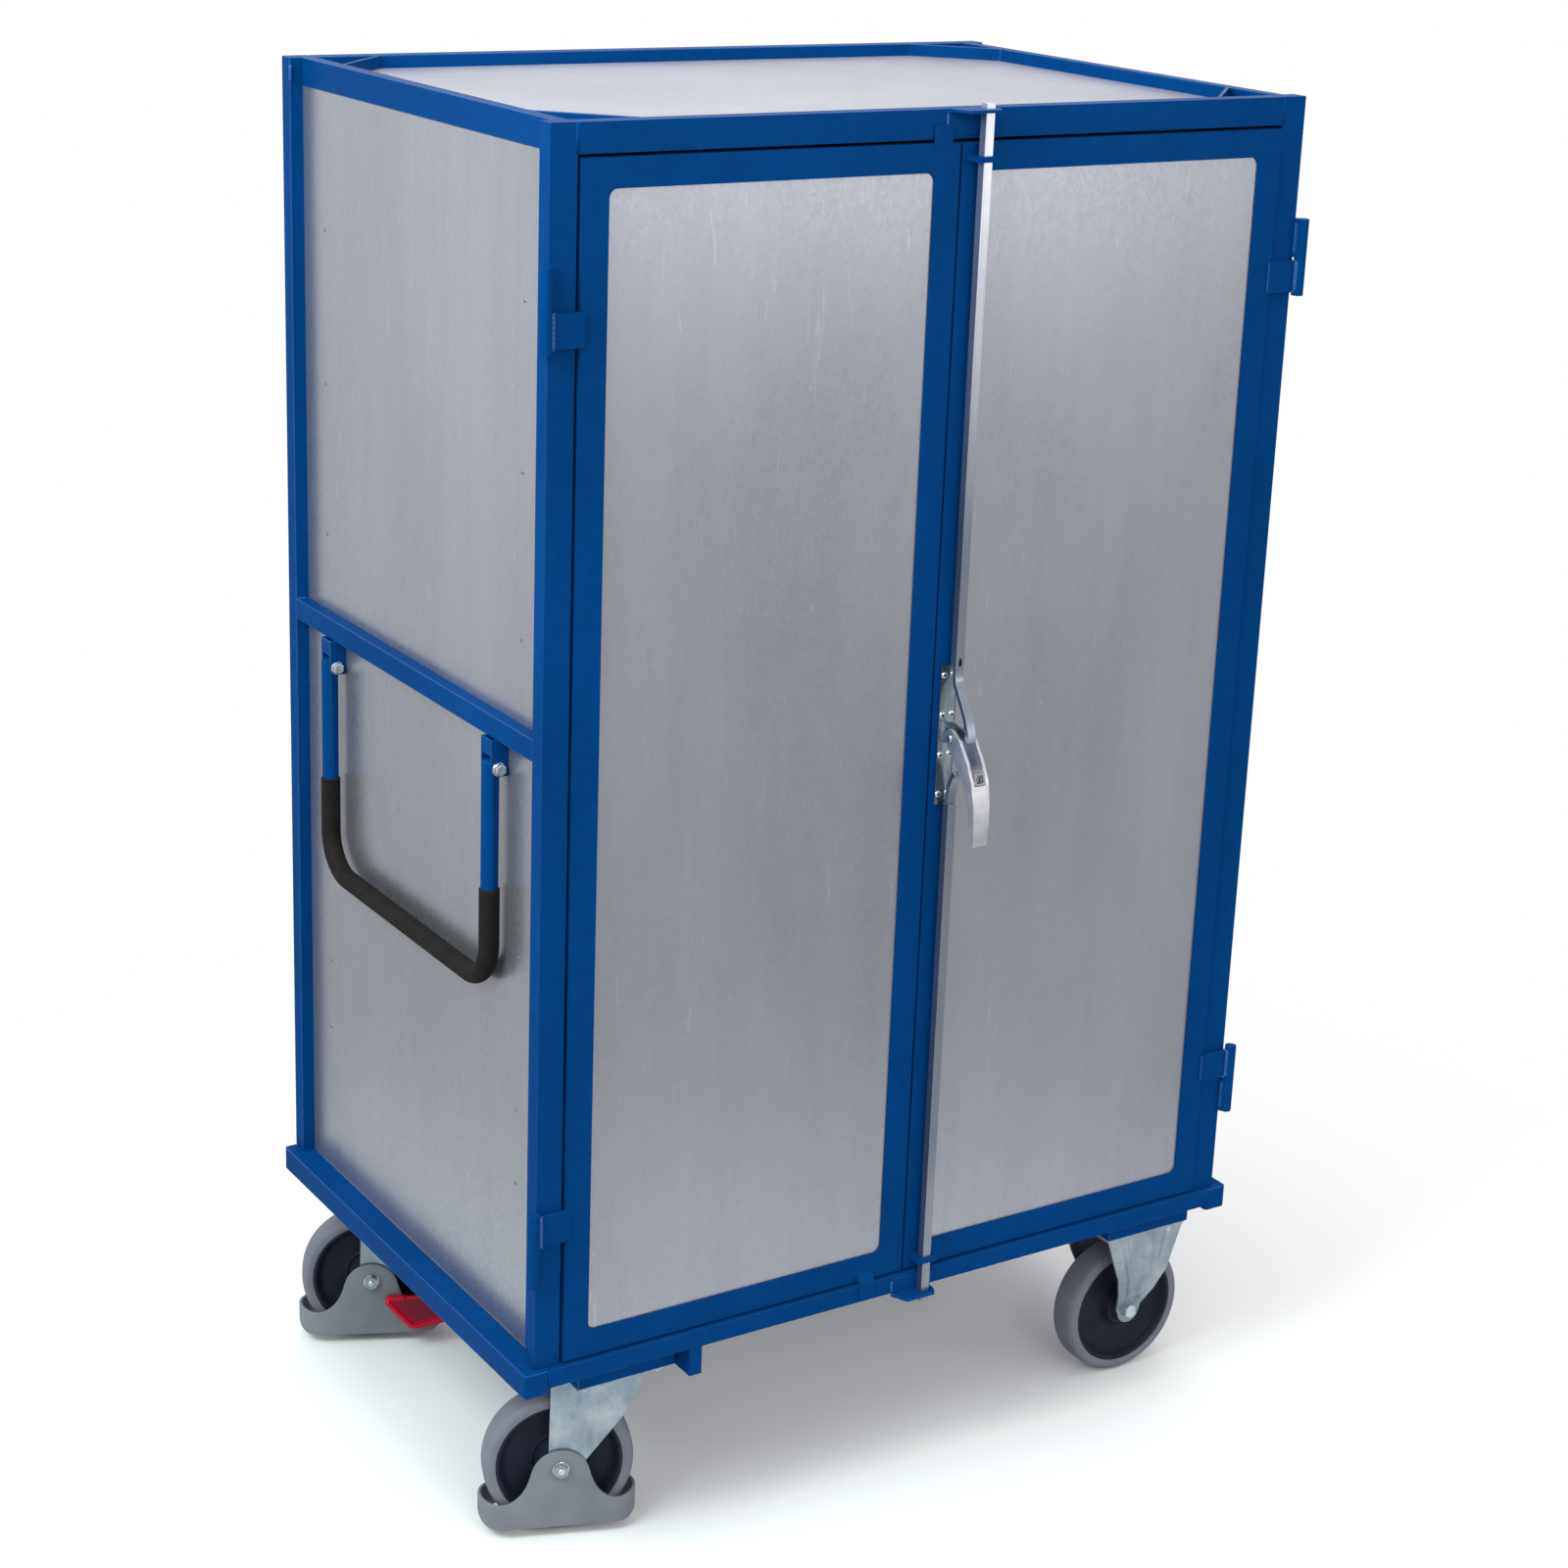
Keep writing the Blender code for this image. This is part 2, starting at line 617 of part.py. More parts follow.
def make_rim(root):
    """The rails round the top, with the upper keeper and the corner gussets, and the mid rails."""
    x = POST_IN_X - GAP
    front = hollow_bar("top_front_rail", (-x, FRONT_Y, RAIL_BOTTOM), (x, -RAIL_IN_Y, CABINET_TOP), 0,
                       TUBE_WALL)
    ear_z = CABINET_TOP + KEEPER_PROUD - KEEPER_THICKNESS / 2
    welded, hole = keeper("upper_keeper", FRONT_Y, ear_z, RAIL_BOTTOM + OVERRUN, ear_z)
    finish(cut(weld(front, *welded), hole), BLUE_PAINT, root)
    rear = hollow_bar("top_rear_rail", (-x, RAIL_IN_Y, RAIL_BOTTOM), (x, REAR_Y, CABINET_TOP), 0, TUBE_WALL)
    finish(rear, BLUE_PAINT, root)
    out_x = POST_OUT_X - RIM_SIDE_RECESS
    in_x = out_x - RIM_SIDE_WIDTH
    y = POST_IN_Y - GAP
    for side, label in ((-1, "left"), (1, "right")):
        xs = sorted((side * in_x, side * out_x))
        rail = hollow_bar("top_" + label + "_rail", (xs[0], -y, RAIL_BOTTOM), (xs[1], y, CABINET_TOP), 1,
                          TUBE_WALL)
        gusset_low = CABINET_TOP - TOP_SHEET_DROP + GAP
        middle = (gusset_low + CABINET_TOP) / 2
        wide = GUSSET_THICKNESS * math.sqrt(2)
        for end in (-1, 1):
            wall_y = RAIL_IN_Y - GAP
            points = [(side * (in_x + SINK), end * (wall_y - GUSSET_LEG - SINK)),
                      (side * (in_x + SINK), end * (wall_y - GUSSET_LEG - SINK + wide)),
                      (side * (in_x - GUSSET_LEG + wide), end * wall_y),
                      (side * (in_x - GUSSET_LEG), end * wall_y)]
            weld(rail, outline(f"{rail.name}_gusset_{end}", [points], CABINET_TOP - gusset_low,
                               (0, 0, middle)))
        finish(rail, BLUE_PAINT, root)
        xs = sorted((side * (PANEL_X + GAP), side * POST_OUT_X))
        mid = hollow_bar(label + "_mid_rail", (xs[0], -y, MID_RAIL_Z),
                         (xs[1], y, MID_RAIL_Z + MID_RAIL_HEIGHT), 1, TUBE_WALL)
        finish(mid, BLUE_PAINT, root)


def make_base(root):
    """The base frame, with the lower keeper, and the beams over the casters."""
    bottom = BASE_TOP - BASE_MEMBER_HEIGHT
    for side, label in ((-1, "left"), (1, "right")):
        xs = sorted((side * BASE_IN_X, side * BASE_OUT_X))
        member = outline("base_" + label + "_member",
                         [rounded_rectangle(xs[0], xs[1], BASE_FRONT_Y, REAR_Y, BASE_MEMBER_CORNER)],
                         BASE_MEMBER_HEIGHT, (0, 0, (bottom + BASE_TOP) / 2))
        hollow = box(member.name + "_hollow",
                     (xs[0] + BEAM_WALL, BASE_FRONT_Y + BASE_MEMBER_CORNER, bottom - OVERRUN),
                     (xs[1] - BEAM_WALL, REAR_Y - BASE_MEMBER_CORNER, BASE_TOP - BEAM_WALL))
        finish(cut(member, hollow), BLUE_PAINT, root)
    x = BASE_IN_X - GAP
    rail_bottom = BASE_TOP - BASE_RAIL_HEIGHT
    front = hollow_bar("base_front_rail", (-x, BASE_FRONT_Y, rail_bottom),
                       (x, BASE_FRONT_Y + BASE_RAIL_DEPTH, BASE_TOP), 0, TUBE_WALL)
    ear_z = rail_bottom - LOWER_KEEPER_DROP + KEEPER_THICKNESS / 2
    welded, hole = keeper("lower_keeper", BASE_FRONT_Y, ear_z, ear_z, BASE_TOP - OVERRUN)
    finish(cut(weld(front, *welded), hole), BLUE_PAINT, root)
    rear = hollow_bar("base_rear_rail", (-x, REAR_Y - BASE_RAIL_DEPTH, rail_bottom), (x, REAR_Y, BASE_TOP), 0,
                      TUBE_WALL)
    finish(rear, BLUE_PAINT, root)
    cross_top = rail_bottom - GAP
    cross = box("base_cross_member", (-CROSS_MEMBER_X, BASE_FRONT_Y, cross_top - CROSS_MEMBER_HEIGHT),
                (-CROSS_MEMBER_X + CROSS_MEMBER_WIDTH, REAR_Y, cross_top))
    finish(cross, BLUE_PAINT, root)
    for name, centre in (("left_caster_beam", -SWIVEL_X), ("right_caster_beam", FIXED_X)):
        beam = hollow_bar(name, (centre - BEAM_WIDTH / 2, -BEAM_END_Y, CASTER_HEIGHT + GAP),
                          (centre + BEAM_WIDTH / 2, BEAM_END_Y, cross_top), 1, BEAM_WALL, open_low=False)
        finish(beam, BLUE_PAINT, root)


def shelf_heights():
    """Height of each shelf's top, at even pitch between the floor sheet and the rim."""
    pitch = (RAIL_BOTTOM - BASE_TOP) / (SHELF_COUNT + 1)
    return [BASE_TOP + pitch * (index + 1) for index in range(SHELF_COUNT)]


def make_sheets(root):
    """The floor, back, top and side sheets; the side sheets carry the shelf rails and hooks."""
    x = BASE_IN_X - GAP
    y_front = BASE_FRONT_Y + BASE_RAIL_DEPTH + GAP
    y_rear = REAR_Y - BASE_RAIL_DEPTH - GAP
    finish(box("floor_sheet", (-x, y_front, BASE_TOP - SHEET), (x, y_rear, BASE_TOP)), GALVANISED, root)
    x = POST_IN_X - GAP
    low = BASE_TOP + GAP
    high = RAIL_BOTTOM - GAP
    back_y = REAR_Y - BACK_PANEL_RECESS
    finish(box("back_panel", (-x, back_y - SHEET, low), (x, back_y, high)), GALVANISED, root)
    top_z = CABINET_TOP - TOP_SHEET_DROP
    top_y = RAIL_IN_Y - GAP
    finish(box("top_sheet", (-x, -top_y, top_z - SHEET), (x, top_y, top_z)), GALVANISED, root)
    for side, label in ((-1, "left"), (1, "right")):
        y = POST_IN_Y - GAP
        panel = mirrored_box(label + "_side_panel", side, (PANEL_X - SHEET, -y, low), (PANEL_X, y, high))
        rail_x = PANEL_X - SHEET - SHELF_RAIL_DEPTH
        for end in (-1, 1):
            ys = (end * SHELF_RAIL_Y - SHELF_RAIL_WIDTH / 2, end * SHELF_RAIL_Y + SHELF_RAIL_WIDTH / 2)
            rail = mirrored_box(f"{label}_shelf_rail_{end}", side, (rail_x, ys[0], low + SHELF_RAIL_END),
                                (PANEL_X - SHEET / 2, ys[1], high - SHELF_RAIL_END))
            weld(panel, rail)
            for index, shelf_z in enumerate(shelf_heights()):
                hook_top = shelf_z - SHELF_LIP - GAP
                hook = mirrored_box(f"{label}_hook_{end}_{index}", side,
                                    (rail_x - SHELF_HOOK_REACH, ys[0] + SINK, hook_top - SHELF_HOOK_HEIGHT),
                                    (rail_x + SINK, ys[1] - SINK, hook_top))
                weld(panel, hook)
        finish(panel, GALVANISED, root)


def make_shelves(root):
    """The shelves, each a sheet with a lip turned down all round."""
    x = POST_IN_X - SHELF_SIDE_GAP
    front = DOOR_BACK_Y + SHELF_DOOR_GAP
    rear = REAR_Y - BACK_PANEL_RECESS - SHEET - SHELF_SIDE_GAP
    for name, z in zip(("shelf_lower", "shelf_middle", "shelf_upper"), shelf_heights()):
        shelf = box(name, (-x, front, z - SHELF_LIP), (x, rear, z))
        hollow = box(name + "_hollow", (SHEET - x, front + SHEET, z - SHELF_LIP - OVERRUN),
                     (x - SHEET, rear - SHEET, z - SHEET))
        finish(cut(shelf, hollow), GALVANISED, root)


def bar_guide(name, z):
    """A loop on the door's face that a lock bar slides through, and the cutter of its hole."""
    half_hole = BAR_WIDTH / 2 + GUIDE_PLAY
    front = BAR_FRONT_Y - GUIDE_PLAY - GUIDE_WALL
    loop = box(name, (BAR_X - GUIDE_HALF_WIDTH, front, z - GUIDE_HEIGHT / 2),
               (BAR_X + GUIDE_HALF_WIDTH, DOOR_FRONT_Y + SINK, z + GUIDE_HEIGHT / 2))
    hole = box(name + "_hole", (BAR_X - half_hole, BAR_FRONT_Y - GUIDE_PLAY, z - GUIDE_HEIGHT),
               (BAR_X + half_hole, BAR_BACK_Y + GUIDE_PLAY, z + GUIDE_HEIGHT))
    return loop, hole


def door_stops(edge):
    """The two stops on the left door's free edge that lie in front of the frame."""
    left = edge - TOP_STOP_LEFT
    top = DOOR_TOP + TOP_STOP_RISE
    right = left + TOP_STOP_WIDTH
    points = [(left, DOOR_TOP - STOP_LAP), (right, DOOR_TOP - STOP_LAP), (right, top),
              *arc((left + TOP_STOP_CORNER, top - TOP_STOP_CORNER), TOP_STOP_CORNER, 90, 180)]
    back = FRONT_Y - KEEPER_LEG_THICKNESS - GAP
    upper = outline("top_stop", [points], STOP_THICKNESS, (0, back - STOP_THICKNESS / 2, 0), FACING_FRONT)
    left = edge - BOTTOM_STOP_LEFT
    back = BASE_FRONT_Y - BOTTOM_STOP_CLEARANCE
    front = back - BOTTOM_STOP_THICKNESS
    inside = DOOR_FRONT_Y + SINK
    points = [(inside, DOOR_BOTTOM + GAP), (inside, DOOR_BOTTOM + BOTTOM_STOP_RISE),
              (DOOR_FRONT_Y - GAP, DOOR_BOTTOM + BOTTOM_STOP_RISE), (front, DOOR_BOTTOM),
              (front, BASE_TOP - BOTTOM_STOP_DROP), (back, BASE_TOP - BOTTOM_STOP_DROP),
              (back, DOOR_BOTTOM + GAP)]
    lower = outline("bottom_stop", [points], BOTTOM_STOP_WIDTH, (left + BOTTOM_STOP_WIDTH / 2, 0, 0),
                    FACING_SIDE)
    return upper, lower


def make_door(side, root):
    """One door: a folded frame with hinge straps, and its panel. Returns the hinge's empty."""
    label = "left" if side < 0 else "right"
    hinge = axis_empty(label + "_door_hinge", (side * HINGE_X, HINGE_Y, 0), root)
    edge = DOOR_MEETING_X + side * DOOR_MEETING_GAP / 2
    left, right = sorted((side * DOOR_OUT_X, edge))
    window = (left + DOOR_PROFILE, right - DOOR_PROFILE, DOOR_BOTTOM + DOOR_PROFILE, DOOR_TOP - DOOR_PROFILE)
    middle_y = (DOOR_FRONT_Y + DOOR_BACK_Y) / 2
    frame = outline(label + "_door_frame",
                    [rectangle(left, right, DOOR_BOTTOM, DOOR_TOP),
                     rounded_rectangle(*window, DOOR_WINDOW_CORNER)],
                    DOOR_THICKNESS, (0, middle_y, 0), FACING_FRONT)
    wall = TUBE_WALL
    channel = outline(frame.name + "_channel",
                      [rectangle(left + wall, right - wall, DOOR_BOTTOM + wall, DOOR_TOP - wall),
                       rounded_rectangle(window[0] - wall, window[1] + wall, window[2] - wall,
                                         window[3] + wall, DOOR_WINDOW_CORNER + wall)],
                      DOOR_THICKNESS, (0, middle_y + DOOR_FACE, 0), FACING_FRONT)
    cut(frame, channel)
    bores = []
    for name, split, post_above in hinge_places():
        fixed, moving, bore = hinge_halves(frame.name + name, side, split, post_above)
        for unused in fixed:
            bpy.data.objects.remove(unused, do_unlink=True)
        weld(frame, *moving)
        bores.append(bore)
    if side < 0:
        weld(frame, *door_stops(edge))
    else:
        from_end = GUIDE_FROM_DOOR_END + GUIDE_HEIGHT / 2
        for name, z in (("upper_guide", DOOR_TOP - from_end), ("lower_guide", DOOR_BOTTOM + from_end)):
            loop, hole = bar_guide(name, z)
            weld(frame, loop)
            bores.append(hole)
    cut(frame, *bores)
    finish(frame, BLUE_PAINT, hinge)
    panel_y = DOOR_FRONT_Y + DOOR_PANEL_RECESS + SHEET / 2
    panel = outline(label + "_door_panel",
                    [rounded_rectangle(window[0] + GAP, window[1] - GAP, window[2] + GAP, window[3] - GAP,
                                       DOOR_WINDOW_CORNER)],
                    SHEET, (0, panel_y, 0), FACING_FRONT)
    finish(panel, GALVANISED, hinge)
    return hinge


def make_lock_plate(door):
    """The plate on the right door, with two lugs whose studs carry the lever."""
    face = DOOR_FRONT_Y - GAP
    front = face - LOCK_PLATE_THICKNESS
    centre = BAR_X - LOCK_PLATE_SHIFT
    z = PIVOT_Z - LOCK_PLATE_DROP
    plate = box("lock_plate", (centre - LOCK_PLATE_WIDTH / 2, front, z - LOCK_PLATE_LENGTH / 2),
                (centre + LOCK_PLATE_WIDTH / 2, face, z + LOCK_PLATE_LENGTH / 2))
    outer = LUG_INNER + LUG_THICKNESS
    base = box("lug_base", (BAR_X - outer, front + SINK / 2, PIVOT_Z - LUG_HALF_HEIGHT),
               (BAR_X + outer, face, PIVOT_Z + LUG_HALF_HEIGHT))
    weld(plate, base)
    for side in (-1, 1):
        points = [(face, PIVOT_Z - LUG_HALF_HEIGHT), (face, PIVOT_Z + LUG_HALF_HEIGHT),
                  *arc((PIVOT_Y, PIVOT_Z), PIVOT_RADIUS + PIVOT_HEAD_RADIUS / 2, 90, 270)]
        lug = outline(f"lug_{side}", [points], LUG_THICKNESS,
                      (BAR_X + side * (LUG_INNER + LUG_THICKNESS / 2), 0, 0), FACING_SIDE)
        arm_out = LEVER_HEAD_HALF_WIDTH + GAP
        start = BAR_X + side * (LUG_INNER + LUG_THICKNESS / 4)
        stud = rod(f"pivot_stud_{side}", PIVOT_RADIUS, (start, PIVOT_Y, PIVOT_Z),
                   (BAR_X + side * (arm_out + PIVOT_HEAD / 2), PIVOT_Y, PIVOT_Z))
        head = rod(f"pivot_head_{side}", PIVOT_HEAD_RADIUS, (BAR_X + side * arm_out, PIVOT_Y, PIVOT_Z),
                   (BAR_X + side * (arm_out + PIVOT_HEAD), PIVOT_Y, PIVOT_Z))
        weld(plate, lug, stud, head)
    finish(plate, ZINC, door)


def lever_side_view():
    """The lever seen from the side: (outward, up) from its pivot, round head and bent handle."""
    back_shares = ((0.23, 0.23), (0.52, 0.35), (0.69, 0.48), (0.85, 0.66))
    front_shares = ((1.12, 0.78), (1.08, 0.58), (0.96, 0.35), (0.73, 0.17), (0.385, -0.015))
    back = [(-LEVER_REACH * out, -LEVER_DROP * down) for out, down in back_shares]
    front = [(-LEVER_REACH * out, -LEVER_DROP * down) for out, down in front_shares]
    tip = [(-LEVER_REACH + LEVER_TIP_THICKNESS / 2, -LEVER_DROP),
           (-LEVER_REACH - LEVER_TIP_THICKNESS / 2, -LEVER_DROP)]
    head = arc((0, 0), LEVER_HEAD_RADIUS, 135, -42, 2 * ARC_POINTS)
    return head + back + tip + front


def make_lever(door):
    """The forked lever on its pivot, and the lock cylinder in it. Returns the lever's empty."""
    place = (BAR_X, PIVOT_Y, PIVOT_Z)
    pivot = axis_empty("lever_pivot", Vector(place) - door.matrix_world.translation, door)
    half = LEVER_HEAD_HALF_WIDTH
    lever = outline("lock_lever", [lever_side_view()], 2 * half, place, FACING_SIDE)
    tip = LEVER_TIP_HALF_WIDTH
    top = LEVER_HEAD_RADIUS + OVERRUN
    plan_points = [(-tip, -LEVER_DROP - OVERRUN), (tip, -LEVER_DROP - OVERRUN),
                   (half + GAP, -LEVER_TAPER_START), (half + GAP, top),
                   (-half - GAP, top), (-half - GAP, -LEVER_TAPER_START)]
    plan = outline("lever_taper", [plan_points], 3 * LEVER_REACH, place, FACING_FRONT)
    change(lever, plan, "INTERSECT")
    slot_half = half - LEVER_ARM
    slot = box("lever_slot", (BAR_X - slot_half, PIVOT_Y - 2 * LEVER_REACH, PIVOT_Z - LEVER_SLOT_DROP),
               (BAR_X + slot_half, PIVOT_Y + LEVER_REACH, PIVOT_Z + top))
    bore = rod("lever_bore", PIVOT_RADIUS + RUNNING, (BAR_X - 2 * half, PIVOT_Y, PIVOT_Z),
               (BAR_X + 2 * half, PIVOT_Y, PIVOT_Z))
    face_y = PIVOT_Y - lever_front_at(CYLINDER_DROP)
    key_z = PIVOT_Z - CYLINDER_DROP
    seat_end = face_y + CYLINDER_LENGTH - CYLINDER_PROUD
    seat = rod("cylinder_seat", CYLINDER_RADIUS + RUNNING, (BAR_X, face_y - OVERRUN, key_z),
               (BAR_X, seat_end + GAP, key_z))
    finish(cut(lever, slot, bore, seat), ALUMINIUM, pivot)
    turn = axis_empty("lock_cylinder_axis", Vector((BAR_X, face_y, key_z)) - Vector(place), pivot)
    cylinder = rod("lock_cylinder", CYLINDER_RADIUS, (BAR_X, face_y - CYLINDER_PROUD, key_z),
                   (BAR_X, seat_end, key_z))
    finish(cylinder, ZINC, turn)
    return pivot


def lever_front_at(drop):
    """How far out the lever's front face is at a depth below the pivot."""
    points = [(-out, -up) for out, up in lever_side_view()[-7:]]
    for (out_a, down_a), (out_b, down_b) in zip(points, points[1:]):
        if min(down_a, down_b) <= drop <= max(down_a, down_b) and down_a != down_b:
            return out_a + (out_b - out_a) * (drop - down_a) / (down_b - down_a)
    return LEVER_REACH


def make_lock_bars(door):
    """The two lock bars and the bent links that join them to the lever."""
    x = (BAR_X - BAR_WIDTH / 2, BAR_X + BAR_WIDTH / 2)
    upper_low = PIVOT_Z + UPPER_BAR_RISE
    lower_high = PIVOT_Z - LOWER_BAR_FALL
    upper = box("upper_lock_bar", (x[0], BAR_FRONT_Y, upper_low),
                (x[1], BAR_BACK_Y, CABINET_TOP + UPPER_BAR_PROUD))
    lower = box("lower_lock_bar", (x[0], BAR_FRONT_Y, BASE_TOP - LOWER_BAR_DROP),
                (x[1], BAR_BACK_Y, lower_high))
    half = LINK_THICKNESS / 2
    start = (BAR_FRONT_Y + half, upper_low - GAP)
    bend_shares = ((0.0, 0.0), (0.07, 0.12), (0.31, 0.28), (0.78, 0.62), (0.95, 0.84), (1.0, 1.0))
    straight = start[1] - UPPER_LINK_STRAIGHT
    rest = straight - PIVOT_Z
    upper_path = [start] + [(start[0] - UPPER_LINK_REACH * out, straight - rest * down)
                            for out, down in bend_shares]
    start = (BAR_MID_Y, lower_high + GAP)
    rise_shares = ((0.0, 0.0), (0.06, 0.30), (0.26, 0.60), (0.60, 0.85), (1.0, 1.0))
    lower_path = [(start[0] - LOWER_LINK_REACH * out, start[1] + LOWER_LINK_RISE * up)
                  for out, up in rise_shares]
    links = [outline(name, [strip(path, LINK_THICKNESS)], BAR_WIDTH, (BAR_X, 0, 0), FACING_SIDE)
             for name, path in (("upper_lock_link", upper_path), ("lower_lock_link", lower_path))]
    for piece in (upper, lower, *links):
        finish(piece, ZINC, door)


def handle_path(start, end_drop):
    """Points of the U-shaped handle from one leg's height round to the other's."""
    side = HANDLE_HALF_WIDTH - HANDLE_BEND
    low = HANDLE_PIVOT_Z - end_drop
    bend = low + HANDLE_BEND
    left = arc((-side, bend), HANDLE_BEND, 180, 270)
    right = arc((side, bend), HANDLE_BEND, 270, 360)
    path = [(-HANDLE_HALF_WIDTH, start), *left, *right, (HANDLE_HALF_WIDTH, start)]
    return [(-POST_OUT_X, y, z) for y, z in path]


def handle_bracket(label, y):
    """A box section under the mid rail, open round the handle's leg, which its cheeks hold on a bolt."""
    half = HANDLE_TUBE_RADIUS + RUNNING + BRACKET_WALL
    outer = HANDLE_PIVOT_X - BRACKET_RADIUS
    inner = -PANEL_X - GAP
    top = MID_RAIL_Z - GAP
    points = [(inner, HANDLE_PIVOT_Z - BRACKET_RADIUS), (inner, top), (outer, top),
              *arc((HANDLE_PIVOT_X, HANDLE_PIVOT_Z), BRACKET_RADIUS, 180, 270)]
    bracket = outline("handle_bracket_" + label, [points], 2 * half, (0, y, 0), FACING_FRONT)
    wall = BRACKET_WALL
    low = HANDLE_PIVOT_Z - BRACKET_RADIUS - OVERRUN
    space = box(label + "_bracket_space", (outer + wall, y - half + wall, low),
                (inner - wall, y + half - wall, top + OVERRUN))
    mouth = box(label + "_bracket_mouth", (outer - OVERRUN, y - half + wall, low),
                (outer + wall + SINK, y + half - wall, HANDLE_PIVOT_Z + BRACKET_WEB_RISE))
    cut(bracket, space, mouth)
    place = (HANDLE_PIVOT_X, HANDLE_PIVOT_Z)
    bolt = through_bolt(label + "_handle_bolt", place, y, BOLT_RADIUS, BOLT_HEAD_RADIUS, half - SINK,
                        BOLT_HEAD + SINK)
    return weld(bracket, *bolt)


def make_push_handle(root):
    """The U-shaped folding handle, its grip and its two brackets."""
    pivot = axis_empty("push_handle_pivot", (HANDLE_PIVOT_X, 0, HANDLE_PIVOT_Z), root)
    bar = tube("push_handle_tube", handle_path(HANDLE_PIVOT_Z + HANDLE_TOP, HANDLE_DROP), HANDLE_TUBE_RADIUS)
    grip = tube("push_handle_grip", handle_path(HANDLE_PIVOT_Z - GRIP_START, HANDLE_DROP), GRIP_RADIUS,
                caps=False)
    sleeve = grip.modifiers.new("sleeve", "SOLIDIFY")
    sleeve.thickness = GRIP_RADIUS - HANDLE_TUBE_RADIUS - GAP
    sleeve.offset = -1
    for side, label in ((-1, "front"), (1, "rear")):
        y = side * HANDLE_HALF_WIDTH
        finish(handle_bracket(label, y), BLUE_PAINT, root)
        bore = rod(label + "_handle_bore", BOLT_RADIUS + RUNNING,
                   (HANDLE_PIVOT_X, y - GRIP_RADIUS, HANDLE_PIVOT_Z),
                   (HANDLE_PIVOT_X, y + GRIP_RADIUS, HANDLE_PIVOT_Z))
        cut(bar, bore)
    finish(bar, BLUE_PAINT, pivot)
    finish(grip, GRIP_BLACK, pivot)


def make_wheel(label, axle):
    """Tyre and hub, turned about the axle, with a flat facet of the tread at the bottom."""
    frame = axle.matrix_world @ Matrix.Rotation(math.radians(90), 4, "X") @ Matrix.Rotation(HALF_STEP, 4, "Z")
    inner = HUB_RADIUS + GAP
    tyre = [(WHEEL_RADIUS, TREAD_FLAT), (WHEEL_RADIUS, -TREAD_FLAT),
            (WHEEL_RADIUS - TYRE_EDGE_DROP, -TREAD_EDGE),
            (WHEEL_RADIUS - TYRE_SHOULDER, -TREAD_HALF_WIDTH), (inner, -TREAD_HALF_WIDTH),
            (inner, TREAD_HALF_WIDTH), (WHEEL_RADIUS - TYRE_SHOULDER, TREAD_HALF_WIDTH),
            (WHEEL_RADIUS - TYRE_EDGE_DROP, TREAD_EDGE)]
    rim_in = HUB_RADIUS - HUB_RIM
    hub = [(HUB_RADIUS, HUB_RIM_HALF_WIDTH), (HUB_RADIUS, -HUB_RIM_HALF_WIDTH), (rim_in, -HUB_RIM_HALF_WIDTH),
           (rim_in - HUB_RIM / 2, -HUB_WEB_HALF_WIDTH), (HUB_BOSS_RADIUS + HUB_RIM / 2, -HUB_WEB_HALF_WIDTH),
           (HUB_BOSS_RADIUS, -HUB_BOSS_HALF_WIDTH), (HUB_BORE_RADIUS, -HUB_BOSS_HALF_WIDTH),
           (HUB_BORE_RADIUS, HUB_BOSS_HALF_WIDTH), (HUB_BOSS_RADIUS, HUB_BOSS_HALF_WIDTH),
           (HUB_BOSS_RADIUS + HUB_RIM / 2, HUB_WEB_HALF_WIDTH), (rim_in - HUB_RIM / 2, HUB_WEB_HALF_WIDTH),
           (rim_in, HUB_RIM_HALF_WIDTH)]
    finish(turned(label + "_tyre", tyre, frame), TYRE_GREY, axle)
    finish(turned(label + "_hub", hub, frame), HUB_GREY, axle)


def through_bolt(name, place, y, radius, head_radius, reach, head_height):
    """A bolt along Y with a hexagon head and nut beyond the reach to both sides of y."""
    x, z = place
    shank = rod(name, radius, (x, y - reach - head_height / 2, z), (x, y + reach + head_height / 2, z))
    head = rod(name + "_head", head_radius, (x, y - reach - head_height, z), (x, y - reach, z), HEXAGON)
    nut = rod(name + "_nut", head_radius, (x, y + reach, z), (x, y + reach + head_height, z), HEXAGON)
    return shank, head, nut


def in_frame(piece, frame):
    """Moves a piece made in a caster's own frame, and its tools, to that caster."""
    for item in with_tools(piece):
        item.matrix_world = frame @ item.matrix_world
    bpy.context.view_layer.update()
    return piece


def fork_cheek(name, y):
    """One side of a swivel fork: upright behind the axle and raked towards the swivel."""
    lead_shares = ((0.32, 0.064), (0.78, 0.54), (0.93, 0.77), (1.0, 0.93), (1.0, 1.0))
    rise = FORK_TOP - AXLE_Z
    leading = [(FORK_TOE * out - TRAIL, AXLE_Z + rise * up) for out, up in lead_shares]
    points = [(-TRAIL - FORK_TAIL, FORK_TOP), *arc((-TRAIL, AXLE_Z), FORK_AXLE_MARGIN, 180, 320), *leading]
    return outline(name, [points], CHEEK_THICKNESS, (0, y, 0), FACING_FRONT)


